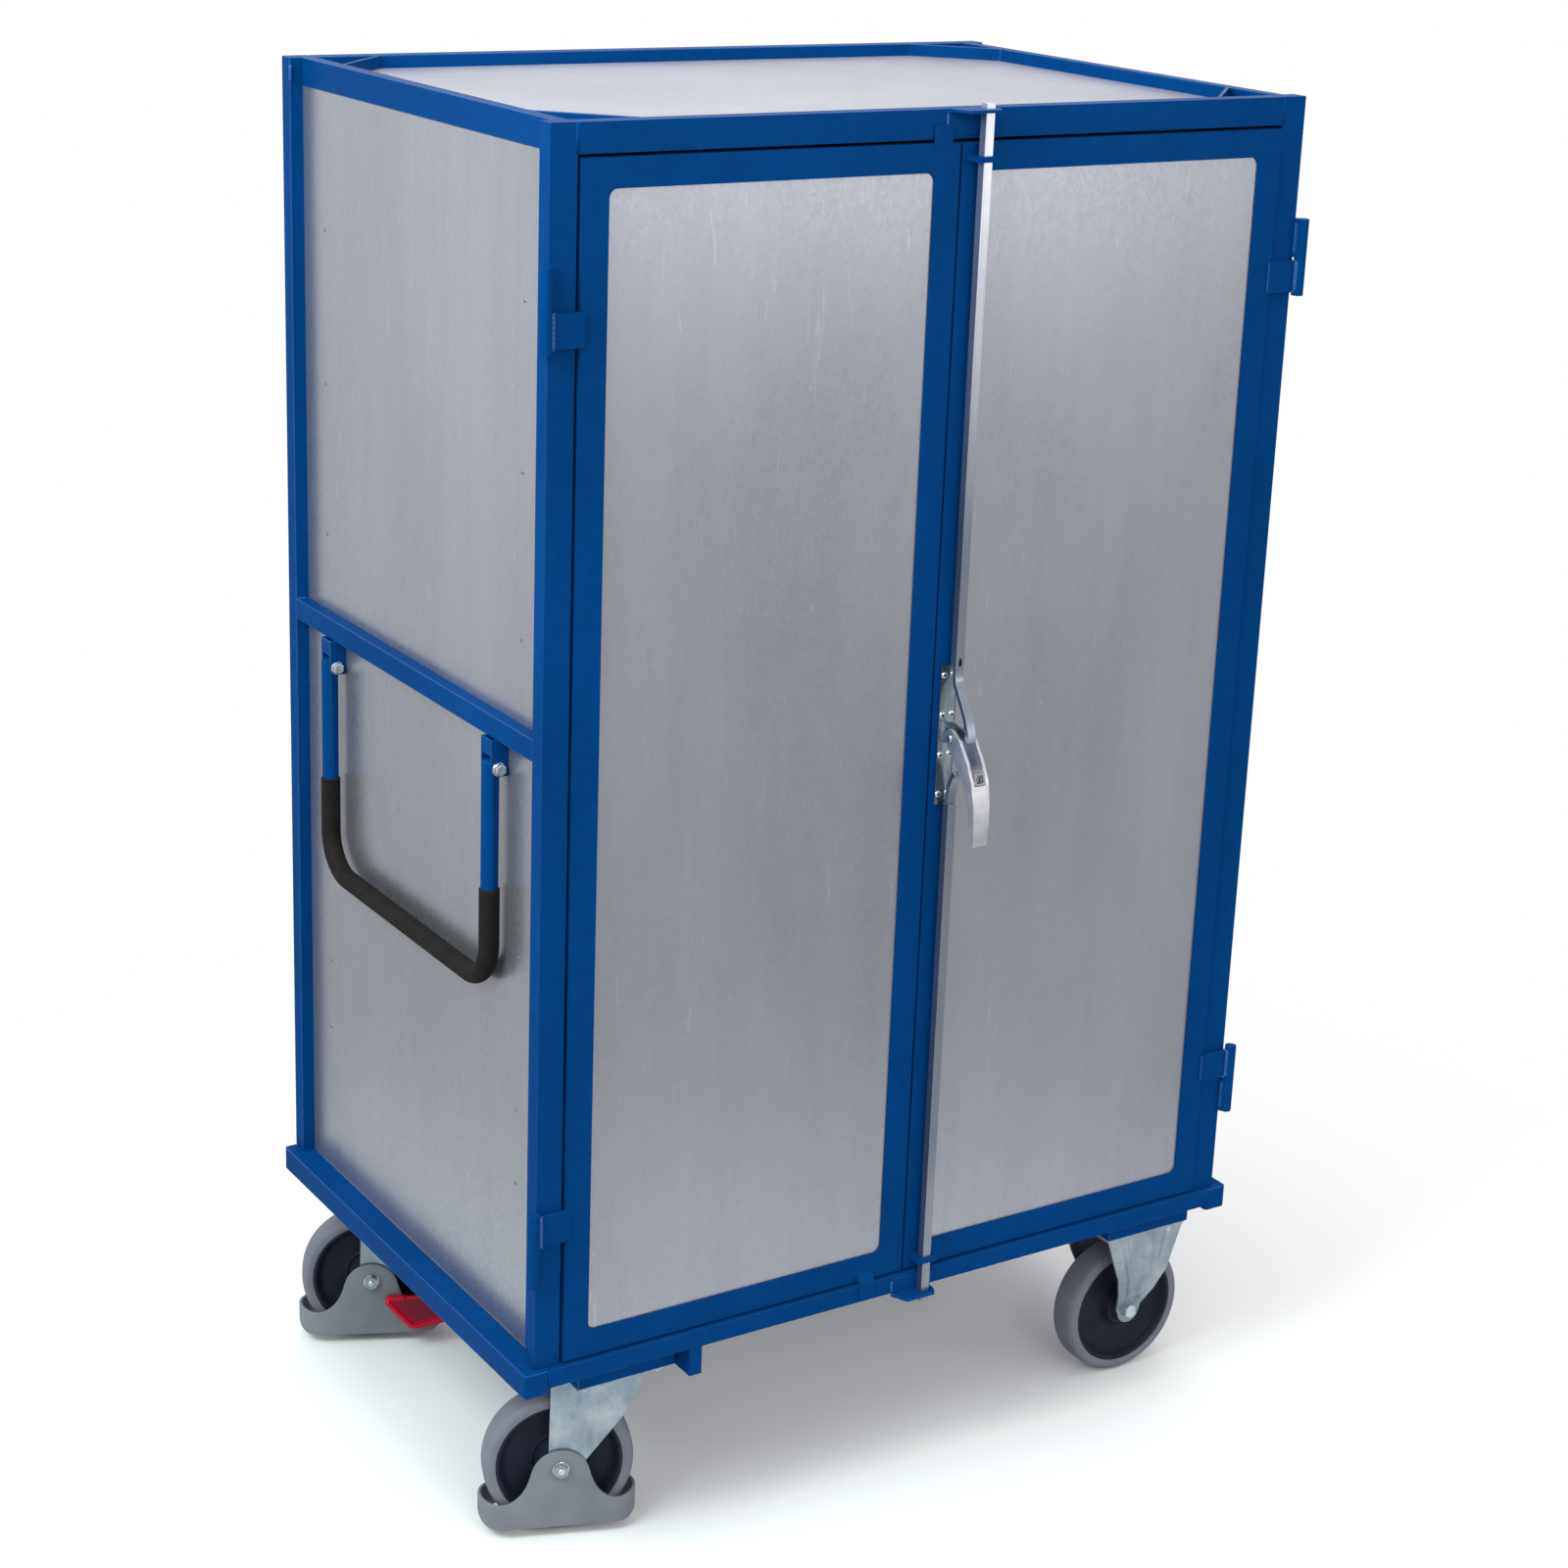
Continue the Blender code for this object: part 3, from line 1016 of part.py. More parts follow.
def guard_profile():
    """A foot guard from the side: a hump over the axle, hollow shoulders, level ends."""
    end_top = GUARD_BOTTOM + GUARD_END_HEIGHT
    crest = AXLE_Z + GUARD_CREST
    end = GUARD_HALF_LENGTH + OVERRUN
    slope_shares = ((1.08, 0.43), (1.36, 0.16), (1.64, 0.03), (2.00, -0.03), (2.36, -0.03))
    hump = arc((0, crest - GUARD_HUMP_RADIUS), GUARD_HUMP_RADIUS, 90, 5)
    slope = [(GUARD_HUMP_RADIUS * out, end_top + (crest - end_top) * up) for out, up in slope_shares]
    foot = [(end, end_top), (end, GUARD_BOTTOM + GUARD_FOOT), (end - GUARD_FOOT - OVERRUN, GUARD_BOTTOM)]
    right = hump + slope + foot
    return right + [(-x, z) for x, z in right[:0:-1]]


def stadium(half_length, half_width):
    """A straight-sided outline with round ends."""
    centre = half_length - half_width
    return (arc((centre, 0), half_width, -90, 90, 2 * ARC_POINTS)
            + arc((-centre, 0), half_width, 90, 270, 2 * ARC_POINTS))


def make_guard(name, frame, swivel, with_lugs):
    """A foot guard round the wheel, held by the axle bolt; the rear one carries the pedal's lugs."""
    height = AXLE_Z + GUARD_CREST + OVERRUN
    middle = height / 2
    guard = outline(name, [stadium(GUARD_HALF_LENGTH, GUARD_OUTER),
                           stadium(GUARD_HALF_LENGTH - GUARD_WALL, GUARD_INNER)], height, (-TRAIL, 0, middle))
    side_view = outline(name + "_side_view", [guard_profile()], 3 * GUARD_OUTER, (-TRAIL, 0, 0), FACING_FRONT)
    change(guard, side_view, "INTERSECT")
    bore = rod(name + "_bore", AXLE_RADIUS + RUNNING, (-TRAIL, -2 * GUARD_OUTER, AXLE_Z),
               (-TRAIL, 2 * GUARD_OUTER, AXLE_Z))
    cut(guard, bore)
    if with_lugs:
        y = -GUARD_OUTER - PEDAL_HINGE_OUT
        z = AXLE_Z - PEDAL_HINGE_DROP
        start = PEDAL_HINGE_START - TRAIL
        lug_starts = (start - PEDAL_LUG - GAP, start + PEDAL_WIDTH + GAP)
        for index, lug_start in enumerate(lug_starts):
            lug = box(f"{name}_lug_{index}", (lug_start, y - PEDAL_HINGE_RADIUS, z - PEDAL_HINGE_RADIUS),
                      (lug_start + PEDAL_LUG, -GUARD_OUTER + SINK, z + PEDAL_HINGE_RADIUS))
            weld(guard, lug)
        weld(guard, rod(name + "_pin", PEDAL_PIN_RADIUS, (lug_starts[0] + SINK, y, z),
                        (lug_starts[1] + PEDAL_LUG - SINK, y, z)))
    finish(in_frame(guard, frame), GUARD_GREY, swivel)


def make_swivel_caster(label, y, turn, root):
    """A swivel caster: plate with bearing and king pin, fork, axle bolt, wheel and foot guard."""
    swivel = axis_empty(label + "_swivel_axis", (-SWIVEL_X, y, 0), root, turn)
    axle = axis_empty(label + "_wheel_axle", (-TRAIL, 0, AXLE_Z), swivel)
    plate_low = CASTER_HEIGHT - PLATE_THICKNESS
    plate = box(label + "_caster_plate", (-SWIVEL_X - PLATE_LENGTH / 2, y - PLATE_DEPTH / 2, plate_low),
                (-SWIVEL_X + PLATE_LENGTH / 2, y + PLATE_DEPTH / 2, CASTER_HEIGHT))
    crown_low = FORK_TOP - FORK_CROWN
    bearing = rod(label + "_bearing", BEARING_RADIUS, (-SWIVEL_X, y, FORK_TOP + GAP),
                  (-SWIVEL_X, y, plate_low + SINK), ROUND_SEGMENTS)
    pin = rod(label + "_king_pin", KING_PIN_RADIUS, (-SWIVEL_X, y, crown_low - KING_NUT),
              (-SWIVEL_X, y, plate_low))
    nut = rod(label + "_king_nut", KING_NUT_RADIUS, (-SWIVEL_X, y, crown_low - GAP - KING_NUT),
              (-SWIVEL_X, y, crown_low - GAP), HEXAGON)
    finish(weld(plate, bearing, pin, nut), ZINC, root)
    frame = swivel.matrix_world
    toe = FORK_TOE - TRAIL
    plan = rounded_rectangle(-TRAIL - FORK_TAIL, toe, -CHEEK_OUTER, CHEEK_OUTER, FORK_TAIL / 2)
    crown = outline(label + "_fork", [plan], FORK_CROWN, (0, 0, FORK_TOP - FORK_CROWN / 2))
    cheek_y = CHEEK_INNER + CHEEK_THICKNESS / 2
    weld(crown, fork_cheek(label + "_cheek_near", -cheek_y), fork_cheek(label + "_cheek_far", cheek_y))
    pin_hole = rod(label + "_pin_hole", KING_PIN_RADIUS + RUNNING, (0, 0, crown_low - OVERRUN),
                   (0, 0, FORK_TOP + OVERRUN))
    axle_hole = rod(label + "_axle_hole", AXLE_RADIUS + RUNNING, (-TRAIL, -2 * CHEEK_OUTER, AXLE_Z),
                    (-TRAIL, 2 * CHEEK_OUTER, AXLE_Z))
    cut(crown, pin_hole, axle_hole)
    finish(in_frame(crown, frame), ZINC, swivel)
    bolt = through_bolt(label + "_axle_bolt", (-TRAIL, AXLE_Z), 0, AXLE_RADIUS, AXLE_HEAD_RADIUS,
                        GUARD_OUTER + GAP, AXLE_HEAD)
    finish(in_frame(weld(*bolt), frame), ZINC, swivel)
    make_wheel(label + "_swivel", axle)
    make_guard(label + "_foot_guard", frame, swivel, label == "rear")
    return swivel


def make_brake_pedal(swivel):
    """The red pedal, hinged on the rear guard's face, flaring outward and down."""
    y = -GUARD_OUTER - PEDAL_HINGE_OUT
    z = AXLE_Z - PEDAL_HINGE_DROP
    start = PEDAL_HINGE_START - TRAIL
    hinge = axis_empty("brake_pedal_hinge", (start, y, z), swivel)
    barrel = rod("brake_pedal", PEDAL_HINGE_RADIUS, (start, y, z), (start + PEDAL_WIDTH, y, z))
    lean = Matrix.Rotation(math.radians(-PEDAL_LEAN), 4, "X")
    far = PEDAL_WIDTH - SINK
    points = [(SINK, 0), (SINK, -PEDAL_NECK), (PEDAL_SHIFT, -PEDAL_LENGTH),
              (PEDAL_SHIFT + PEDAL_END_WIDTH, -PEDAL_LENGTH * PEDAL_END_SHARE), (far, -PEDAL_NECK), (far, 0)]
    plate = outline("pedal_plate", [points], PEDAL_THICKNESS, (start, y, z), lean @ FACING_FRONT)
    bore = rod("pedal_bore", PEDAL_PIN_RADIUS + RUNNING, (start - OVERRUN, y, z),
               (start + PEDAL_WIDTH + OVERRUN, y, z))
    finish(in_frame(cut(weld(barrel, plate), bore), swivel.matrix_world), PEDAL_RED, hinge)


def fixed_leg(name, side, plate_low):
    """One leg of a fixed housing: it leaves the plate's long edge and bends in towards the axle."""
    half = CHEEK_THICKNESS / 2
    near = CHEEK_INNER + half
    out = PLATE_DEPTH / 2 - SINK / 2 - half
    rise = plate_low + SINK - AXLE_Z
    leg_shares = ((1.0, 1.0), (1.0, 0.50), (0.6, 0.27), (0.0, 0.05))
    path = [(side * (near + (out - near) * across), AXLE_Z + rise * up) for across, up in leg_shares]
    path.append((side * near, AXLE_Z - FIXED_TIP_RADIUS - OVERRUN))
    leg = outline(name, [strip(path, CHEEK_THICKNESS)], PLATE_LENGTH, (0, 0, 0), FACING_SIDE)
    top = PLATE_LENGTH / 2 - FIXED_TOP_INSET
    high = plate_low + SINK + OVERRUN
    tip = arc((0, AXLE_Z), FIXED_TIP_RADIUS, 200, 340, 2 * ARC_POINTS)
    front_view = outline(name + "_front_view", [[(-top, high), *tip, (top, high)]], PLATE_DEPTH,
                         (0, side * PLATE_DEPTH / 2, 0), FACING_FRONT)
    return change(leg, front_view, "INTERSECT")


def make_fixed_caster(label, y, root):
    """A fixed caster: housing with two legs and the axle's bolt, and the wheel."""
    axle = axis_empty(label + "_fixed_axle", (FIXED_X, y, AXLE_Z), root)
    frame = Matrix.Translation((FIXED_X, y, 0))
    plate_low = CASTER_HEIGHT - PLATE_THICKNESS
    housing = box(label + "_fixed_housing", (-PLATE_LENGTH / 2, -PLATE_DEPTH / 2, plate_low),
                  (PLATE_LENGTH / 2, PLATE_DEPTH / 2, CASTER_HEIGHT))
    for side in (-1, 1):
        weld(housing, fixed_leg(f"{label}_fixed_leg_{side}", side, plate_low))
    bolt = through_bolt(label + "_fixed_bolt", (0, AXLE_Z), 0, AXLE_RADIUS, AXLE_HEAD_RADIUS,
                        CHEEK_OUTER - SINK, AXLE_HEAD + SINK)
    finish(in_frame(weld(housing, *bolt), frame), ZINC, root)
    make_wheel(label + "_fixed", axle)


def centre_on_origin(root):
    """Moves the trolley so that its origin lies under the middle of its bounding box."""
    bpy.context.view_layer.update()
    graph = bpy.context.evaluated_depsgraph_get()
    corners = []
    for piece in parts.objects:
        if piece.type != "MESH":
            continue
        shown = piece.evaluated_get(graph)
        corners += [shown.matrix_world @ vertex.co for vertex in shown.data.vertices]
    for axis in range(3):
        values = [corner[axis] for corner in corners]
        root.location[axis] = -min(values) if axis == 2 else -(min(values) + max(values)) / 2
    bpy.context.view_layer.update()


trolley = axis_empty("trolley_frame", (0, 0, 0), None)
make_posts(trolley)
make_rim(trolley)
make_base(trolley)
make_sheets(trolley)
make_shelves(trolley)
make_door(-1, trolley)
right_door = make_door(1, trolley)
make_lock_plate(right_door)
make_lever(right_door)
make_lock_bars(right_door)
make_push_handle(trolley)
make_swivel_caster("front", -CASTER_Y, FRONT_CASTER_TURN, trolley)
rear_swivel = make_swivel_caster("rear", CASTER_Y, REAR_CASTER_TURN, trolley)
make_brake_pedal(rear_swivel)
make_fixed_caster("front", -CASTER_Y, trolley)
make_fixed_caster("rear", CASTER_Y, trolley)
centre_on_origin(trolley)
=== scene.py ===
import json
import math

import bmesh
import bpy
from mathutils import Matrix, Vector, noise


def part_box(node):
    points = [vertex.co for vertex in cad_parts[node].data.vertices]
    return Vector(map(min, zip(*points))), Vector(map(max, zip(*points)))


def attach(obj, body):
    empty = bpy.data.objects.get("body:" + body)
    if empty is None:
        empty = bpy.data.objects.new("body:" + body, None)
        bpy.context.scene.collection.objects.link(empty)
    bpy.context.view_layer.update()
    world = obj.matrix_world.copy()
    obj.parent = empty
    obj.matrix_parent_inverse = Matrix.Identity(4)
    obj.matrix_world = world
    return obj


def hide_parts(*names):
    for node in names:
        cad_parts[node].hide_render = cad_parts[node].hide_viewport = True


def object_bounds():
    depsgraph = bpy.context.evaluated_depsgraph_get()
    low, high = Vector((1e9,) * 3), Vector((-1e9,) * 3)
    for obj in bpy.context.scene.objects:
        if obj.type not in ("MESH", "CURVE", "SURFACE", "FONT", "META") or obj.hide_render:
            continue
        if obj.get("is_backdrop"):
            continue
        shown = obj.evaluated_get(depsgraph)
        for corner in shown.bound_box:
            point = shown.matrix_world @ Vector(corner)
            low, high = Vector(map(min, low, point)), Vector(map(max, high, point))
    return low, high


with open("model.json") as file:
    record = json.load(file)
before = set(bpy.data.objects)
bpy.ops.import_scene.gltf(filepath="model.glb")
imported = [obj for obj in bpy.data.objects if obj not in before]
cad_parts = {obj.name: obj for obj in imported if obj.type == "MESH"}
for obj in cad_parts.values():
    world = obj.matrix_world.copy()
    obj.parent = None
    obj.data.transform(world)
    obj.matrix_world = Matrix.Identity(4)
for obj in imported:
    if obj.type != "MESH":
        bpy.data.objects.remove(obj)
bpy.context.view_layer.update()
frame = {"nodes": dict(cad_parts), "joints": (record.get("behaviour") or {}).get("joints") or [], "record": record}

MM = 0.001
SIDES = (-1, 1)
UP = Vector((0, 0, 1))

# Places below are in millimetres from the cabinet's middle and the floor. The cabinet's middle
# lies a little behind the frame's origin, which is under the middle of the whole object.
HALF_DEPTH = 0.368
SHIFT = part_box("rear_left_post")[1].y - HALF_DEPTH


def at(x, y, z):
    return Vector((x * MM, y * MM + SHIFT, z * MM))


def srgb(red, green, blue):
    """A colour as a screen shows it, in linear light."""
    def linear(value):
        value = value / 255
        return value / 12.92 if value <= 0.04045 else ((value + 0.055) / 1.055) ** 2.4
    return (linear(red), linear(green), linear(blue))


def scaled(colour, share):
    """A lighter or darker version of a colour."""
    return tuple(min(value * share, 1) for value in colour)


# Materials

class Tree:
    """Adds and joins the nodes of one shader tree."""

    def __init__(self, tree):
        self.tree = tree

    def add(self, kind, **values):
        node = self.tree.nodes.new(kind)
        for key, value in values.items():
            setattr(node, key, value)
        return node

    def link(self, start, end):
        self.tree.links.new(start, end)

    def put(self, socket, value):
        """Writes a plain number or colour on a socket, and links what another node gives."""
        if isinstance(value, (int, float)):
            socket.default_value = value
        elif isinstance(value, tuple):
            socket.default_value = (*value, 1)
        else:
            self.link(value, socket)

    def remap(self, value, low, high, to_low, to_high):
        """Spreads low to high over to_low to to_high, and stops at both ends."""
        node = self.add("ShaderNodeMapRange", clamp=True)
        node.inputs["From Min"].default_value = low
        node.inputs["From Max"].default_value = high
        node.inputs["To Min"].default_value = to_low
        node.inputs["To Max"].default_value = to_high
        self.link(value, node.inputs["Value"])
        return node.outputs["Result"]

    def maths(self, operation, first, second):
        node = self.add("ShaderNodeMath", operation=operation)
        self.put(node.inputs[0], first)
        self.put(node.inputs[1], second)
        return node.outputs["Value"]


class Finish(Tree):
    """A material, built round its Principled shader."""

    def __init__(self, name):
        self.material = bpy.data.materials.new(name)
        self.material.use_nodes = True
        super().__init__(self.material.node_tree)
        self.shader = self.tree.nodes["Principled BSDF"]
        self.place = self.add("ShaderNodeTexCoord").outputs["Object"]

    def stretched(self, scale):
        mapping = self.add("ShaderNodeMapping")
        mapping.inputs["Scale"].default_value = scale
        self.link(self.place, mapping.inputs["Vector"])
        return mapping.outputs["Vector"]

    def noise(self, scale, detail=3.0, rough=0.55, vector=None, distortion=0.0):
        node = self.add("ShaderNodeTexNoise")
        node.inputs["Scale"].default_value = scale
        node.inputs["Detail"].default_value = detail
        node.inputs["Roughness"].default_value = rough
        node.inputs["Distortion"].default_value = distortion
        self.link(vector or self.place, node.inputs["Vector"])
        return node.outputs["Fac"]

    def cells(self, scale, vector=None):
        """Cells with one grey each, like zinc spangle."""
        node = self.add("ShaderNodeTexVoronoi")
        node.inputs["Scale"].default_value = scale
        self.link(vector or self.place, node.inputs["Vector"])
        grey = self.add("ShaderNodeRGBToBW")
        self.link(node.outputs["Color"], grey.inputs["Color"])
        return grey.outputs["Val"]

    def height(self):
        node = self.add("ShaderNodeSeparateXYZ")
        self.link(self.place, node.inputs["Vector"])
        return node.outputs["Z"]

    def ramp(self, value, stops):
        node = self.add("ShaderNodeValToRGB")
        elements = node.color_ramp.elements
        while len(elements) < len(stops):
            elements.new(0.5)
        for element, (place, colour) in zip(elements, stops):
            element.position = place
            element.color = (*colour, 1)
        self.link(value, node.inputs["Fac"])
        return node.outputs["Color"]

    def mix(self, factor, first, second):
        node = self.add("ShaderNodeMix", data_type="RGBA")
        self.link(factor, node.inputs["Factor"])
        sockets = [socket for socket in node.inputs if socket.type == "RGBA"]
        self.put(sockets[0], first)
        self.put(sockets[1], second)
        return [socket for socket in node.outputs if socket.type == "RGBA"][0]

    def bump(self, height, strength, distance):
        node = self.add("ShaderNodeBump")
        node.inputs["Strength"].default_value = strength
        node.inputs["Distance"].default_value = distance
        self.link(height, node.inputs["Height"])
        self.link(node.outputs["Normal"], self.shader.inputs["Normal"])

    def set(self, **values):
        for key, value in values.items():
            self.put(self.shader.inputs[key.replace("_", " ")], value)


def blue_paint():
    made = Finish("blue_powder_coat")
    broad = made.noise(3.0, detail=4)
    fine = made.noise(55)
    peel = made.noise(750, detail=2, rough=0.5)
    scuffs = made.noise(28, detail=6, rough=0.75, vector=made.stretched((1, 1, 0.25)))
    colour = made.mix(made.remap(broad, 0.3, 0.7, 0, 1), srgb(3, 57, 112), srgb(4, 64, 126))
    colour = made.mix(made.remap(fine, 0.35, 0.75, 0, 0.35), colour, srgb(2, 50, 101))
    colour = made.mix(made.remap(scuffs, 0.70, 0.80, 0, 0.20), colour, srgb(36, 98, 158))
    rough = made.maths("ADD", made.remap(peel, 0.3, 0.7, 0.20, 0.28),
                       made.remap(broad, 0.3, 0.7, 0, 0.07))
    made.set(Base_Color=colour, Roughness=rough, Specular_IOR_Level=0.008)
    made.bump(made.maths("ADD", peel, made.maths("MULTIPLY", fine, 0.8)), 0.14, 0.0004)
    return made.material


def galvanised(name, base, roughness, along, metallic):
    """Zinc-coated sheet: clouds, rolling streaks, spangle, grain and a few scratches."""
    made = Finish(name)
    cloud = made.noise(2.2, detail=5, rough=0.6, vector=made.stretched(along))
    streak = made.noise(16, detail=6, rough=0.65, vector=made.stretched((1.6, 1.6, 0.08)))
    grain = made.noise(520, rough=0.7)
    speck = made.noise(170, detail=2, rough=0.5)
    spangle = made.cells(85)
    flakes = made.cells(240, vector=made.stretched((1, 1, 0.6)))
    scratch = made.noise(11, detail=2, rough=0.5, vector=made.stretched((9, 9, 0.9)),
                         distortion=1.5)
    light = scaled(base, 1.12)
    colour = made.mix(made.remap(cloud, 0.32, 0.68, 0, 1), scaled(base, 0.86), light)
    for layer, low, high, most, shade in ((streak, 0.40, 0.75, 0.40, scaled(base, 0.80)),
                                          (spangle, 0.2, 0.8, 0.14, light),
                                          (flakes, 0.45, 0.9, 0.14, scaled(base, 0.72)),
                                          (grain, 0.25, 0.75, 0.22, scaled(base, 0.78)),
                                          (scratch, 0.700, 0.715, 0.30, scaled(base, 1.35))):
        colour = made.mix(made.remap(layer, low, high, 0, most), colour, shade)
    rough = made.maths("ADD", made.remap(cloud, 0.3, 0.7, roughness - 0.04, roughness + 0.04),
                       made.remap(flakes, 0.2, 0.9, -0.03, 0.03))
    made.set(Base_Color=colour, Roughness=rough, Metallic=metallic, Specular_IOR_Level=0.3)
    made.bump(made.maths("ADD", grain, made.maths("MULTIPLY", speck, 0.7)), 0.025, 0.0002)
    return made.material


def zinc():
    made = Finish("bright_zinc")
    cloud = made.noise(16, detail=5, rough=0.65)
    drawn = made.noise(60, detail=4, rough=0.6, vector=made.stretched((1, 1, 0.12)))
    grain = made.noise(500, rough=0.7)
    tint = made.noise(35, detail=2)
    colour = made.ramp(cloud, [(0.30, srgb(124, 140, 154)), (0.50, srgb(148, 163, 176)),
                               (0.70, srgb(186, 196, 204))])
    colour = made.mix(made.remap(tint, 0.48, 0.75, 0, 0.25), colour, srgb(186, 182, 166))
    colour = made.mix(made.remap(drawn, 0.50, 0.80, 0, 0.35), colour, srgb(212, 218, 224))
    rough = made.maths("ADD", made.remap(cloud, 0.3, 0.7, 0.26, 0.38),
                       made.remap(grain, 0.2, 0.8, -0.04, 0.04))
    made.set(Base_Color=colour, Roughness=rough, Metallic=0.85, Specular_IOR_Level=0.4)
    made.bump(grain, 0.08, 0.0003)
    return made.material


def drawn_zinc():
    """The lock bars: drawn lines along them, and an upper end painted lighter as a painted highlight."""
    made = Finish("drawn_zinc_bar")
    lines = made.noise(300, detail=4, rough=0.7, vector=made.stretched((1, 1, 0.01)))
    cloud = made.noise(8, detail=4, rough=0.6, vector=made.stretched((1, 1, 0.5)))
    dull = made.ramp(cloud, [(0.3, srgb(132, 140, 154)), (0.7, srgb(164, 170, 182))])
    upper_highlight = made.ramp(cloud, [(0.3, srgb(206, 208, 216)), (0.7, srgb(232, 232, 238))])
    # Lighter towards the upper end: a painted highlight.
    colour = made.mix(made.remap(made.height(), 1.28, 1.72, 0, 1), dull, upper_highlight)
    colour = made.mix(made.remap(lines, 0.4, 0.75, 0, 0.45), colour, srgb(126, 134, 148))
    made.set(Base_Color=colour, Roughness=made.remap(lines, 0.2, 0.8, 0.22, 0.36), Metallic=0.9,
             Specular_IOR_Level=0.4)
    made.bump(lines, 0.12, 0.0003)
    return made.material


def aluminium():
    made = Finish("blasted_aluminium")
    cloud = made.noise(40, detail=4)
    grain = made.noise(900, rough=0.65)
    colour = made.ramp(cloud, [(0.3, srgb(190, 192, 198)), (0.7, srgb(222, 222, 228))])
    made.set(Base_Color=colour, Roughness=made.remap(grain, 0.2, 0.8, 0.30, 0.44), Metallic=0.85)
    made.bump(grain, 0.15, 0.0003)
    return made.material


def bright_plate():
    made = Finish("bright_lock_plate")
    cloud = made.noise(45, detail=4, rough=0.65, vector=made.stretched((1, 1, 0.3)))
    grain = made.noise(600, rough=0.6)
    colour = made.ramp(cloud, [(0.30, srgb(112, 128, 142)), (0.52, srgb(150, 166, 178)),
                               (0.72, srgb(206, 216, 222))])
    made.set(Base_Color=colour, Roughness=made.remap(grain, 0.2, 0.8, 0.14, 0.24), Metallic=0.95)
    made.bump(cloud, 0.10, 0.0006)
    return made.material


def grained(name, dark, light, cloud, grain, rough, bump, metallic=0.0, specular=0.5):
    """A blend of two shades in clouds, with a grain in colour, gloss and relief."""
    made = Finish(name)
    clouds = made.noise(cloud, detail=4, rough=0.6)
    grains = made.noise(grain, rough=0.6)
    colour = made.mix(made.remap(clouds, 0.3, 0.7, 0, 1), dark, light)
    colour = made.mix(made.remap(grains, 0.4, 0.8, 0, 0.25), colour, scaled(dark, 0.75))
    made.set(Base_Color=colour, Roughness=made.remap(grains, 0.25, 0.75, *rough),
             Metallic=metallic, Specular_IOR_Level=specular)
    made.bump(grains, bump, 0.0004)
    return made.material


BLUE = blue_paint()
SHEET = galvanised("galvanised_sheet", srgb(176, 178, 187), 0.31, (1, 1, 0.35), 0.82)
TOP_SHEET = galvanised("galvanised_top_sheet", srgb(182, 183, 193), 0.34, (1, 1, 1), 0.5)
ZINC = zinc()
BAR = drawn_zinc()
CAST = aluminium()
TYRE = grained("grey_tyre_rubber", srgb(104, 107, 118), srgb(119, 122, 133), cloud=14, grain=380,
               rough=(0.50, 0.62), bump=0.10, specular=0.25)
HUB = grained("dark_hub_nylon", srgb(26, 30, 42), srgb(36, 41, 55), cloud=20, grain=420,
              rough=(0.42, 0.56), bump=0.10, specular=0.12)
GUARD = grained("grey_guard_nylon", srgb(110, 114, 122), srgb(124, 128, 136), cloud=16, grain=700,
                rough=(0.48, 0.60), bump=0.16, specular=0.22)
PEDAL = grained("red_pedal_nylon", srgb(172, 0, 34), srgb(198, 2, 48), cloud=30, grain=700,
                rough=(0.26, 0.40), bump=0.12, specular=0.25)
# The tread's darker red is painted shade from the cabinet above it; its grain and relief are real.
TREAD_SHADE = grained("pedal_tread_painted_shade", srgb(104, 16, 38), srgb(130, 22, 48), cloud=120, grain=500,
                rough=(0.40, 0.56), bump=0.20, specular=0.2)
GRIP = grained("black_grip_foam", srgb(24, 22, 21), srgb(34, 31, 29), cloud=60, grain=900,
               rough=(0.60, 0.78), bump=0.35, specular=0.10)
# A near black: painted shade in holes, slots and gaps, and the colour of the escutcheon's dark rim.
RECESS_SHADE = grained("painted_recess_shade", srgb(16, 16, 19), srgb(26, 26, 30), cloud=60, grain=600,
               rough=(0.60, 0.80), bump=0.10, specular=0.1)
# The rounded edges of the blue frame: a glossier blue, made lighter than the paint as a painted highlight along
# them.
BLUE_EDGE_HIGHLIGHT = grained("blue_edge_painted_highlight", srgb(3, 62, 122), srgb(6, 76, 142), cloud=30, grain=700,
                    rough=(0.22, 0.32), bump=0.06, specular=0.25)
# Weld beads: their shape is real, and their blue is lighter than the paint as a painted highlight on them.
BLUE_WELD_HIGHLIGHT = grained("blue_weld_painted_highlight", srgb(4, 66, 132), srgb(14, 88, 156), cloud=220,
                    grain=900, rough=(0.16, 0.26), bump=0.10)
ESCUTCHEON = grained("dull_escutcheon", srgb(128, 124, 120), srgb(156, 151, 145), cloud=160,
                     grain=700, rough=(0.34, 0.46), bump=0.08, metallic=0.5)
STEEL = grained("bright_screw_steel", srgb(176, 188, 196), srgb(232, 238, 242), cloud=90,
                grain=800, rough=(0.12, 0.24), bump=0.05, metallic=0.95)
RIVET = grained("dull_rivet_steel", srgb(112, 116, 124), srgb(150, 154, 162), cloud=200,
                grain=800, rough=(0.30, 0.42), bump=0.06, metallic=0.8)
LOCK_PLATE = bright_plate()

# Mesh helpers. Their sizes are in millimetres, and places and directions are world vectors.

WELD_STEPS = 10
WELD_SQUASH = 0.7
RIVET_STEPS = 20
TUBE_STEPS = 36


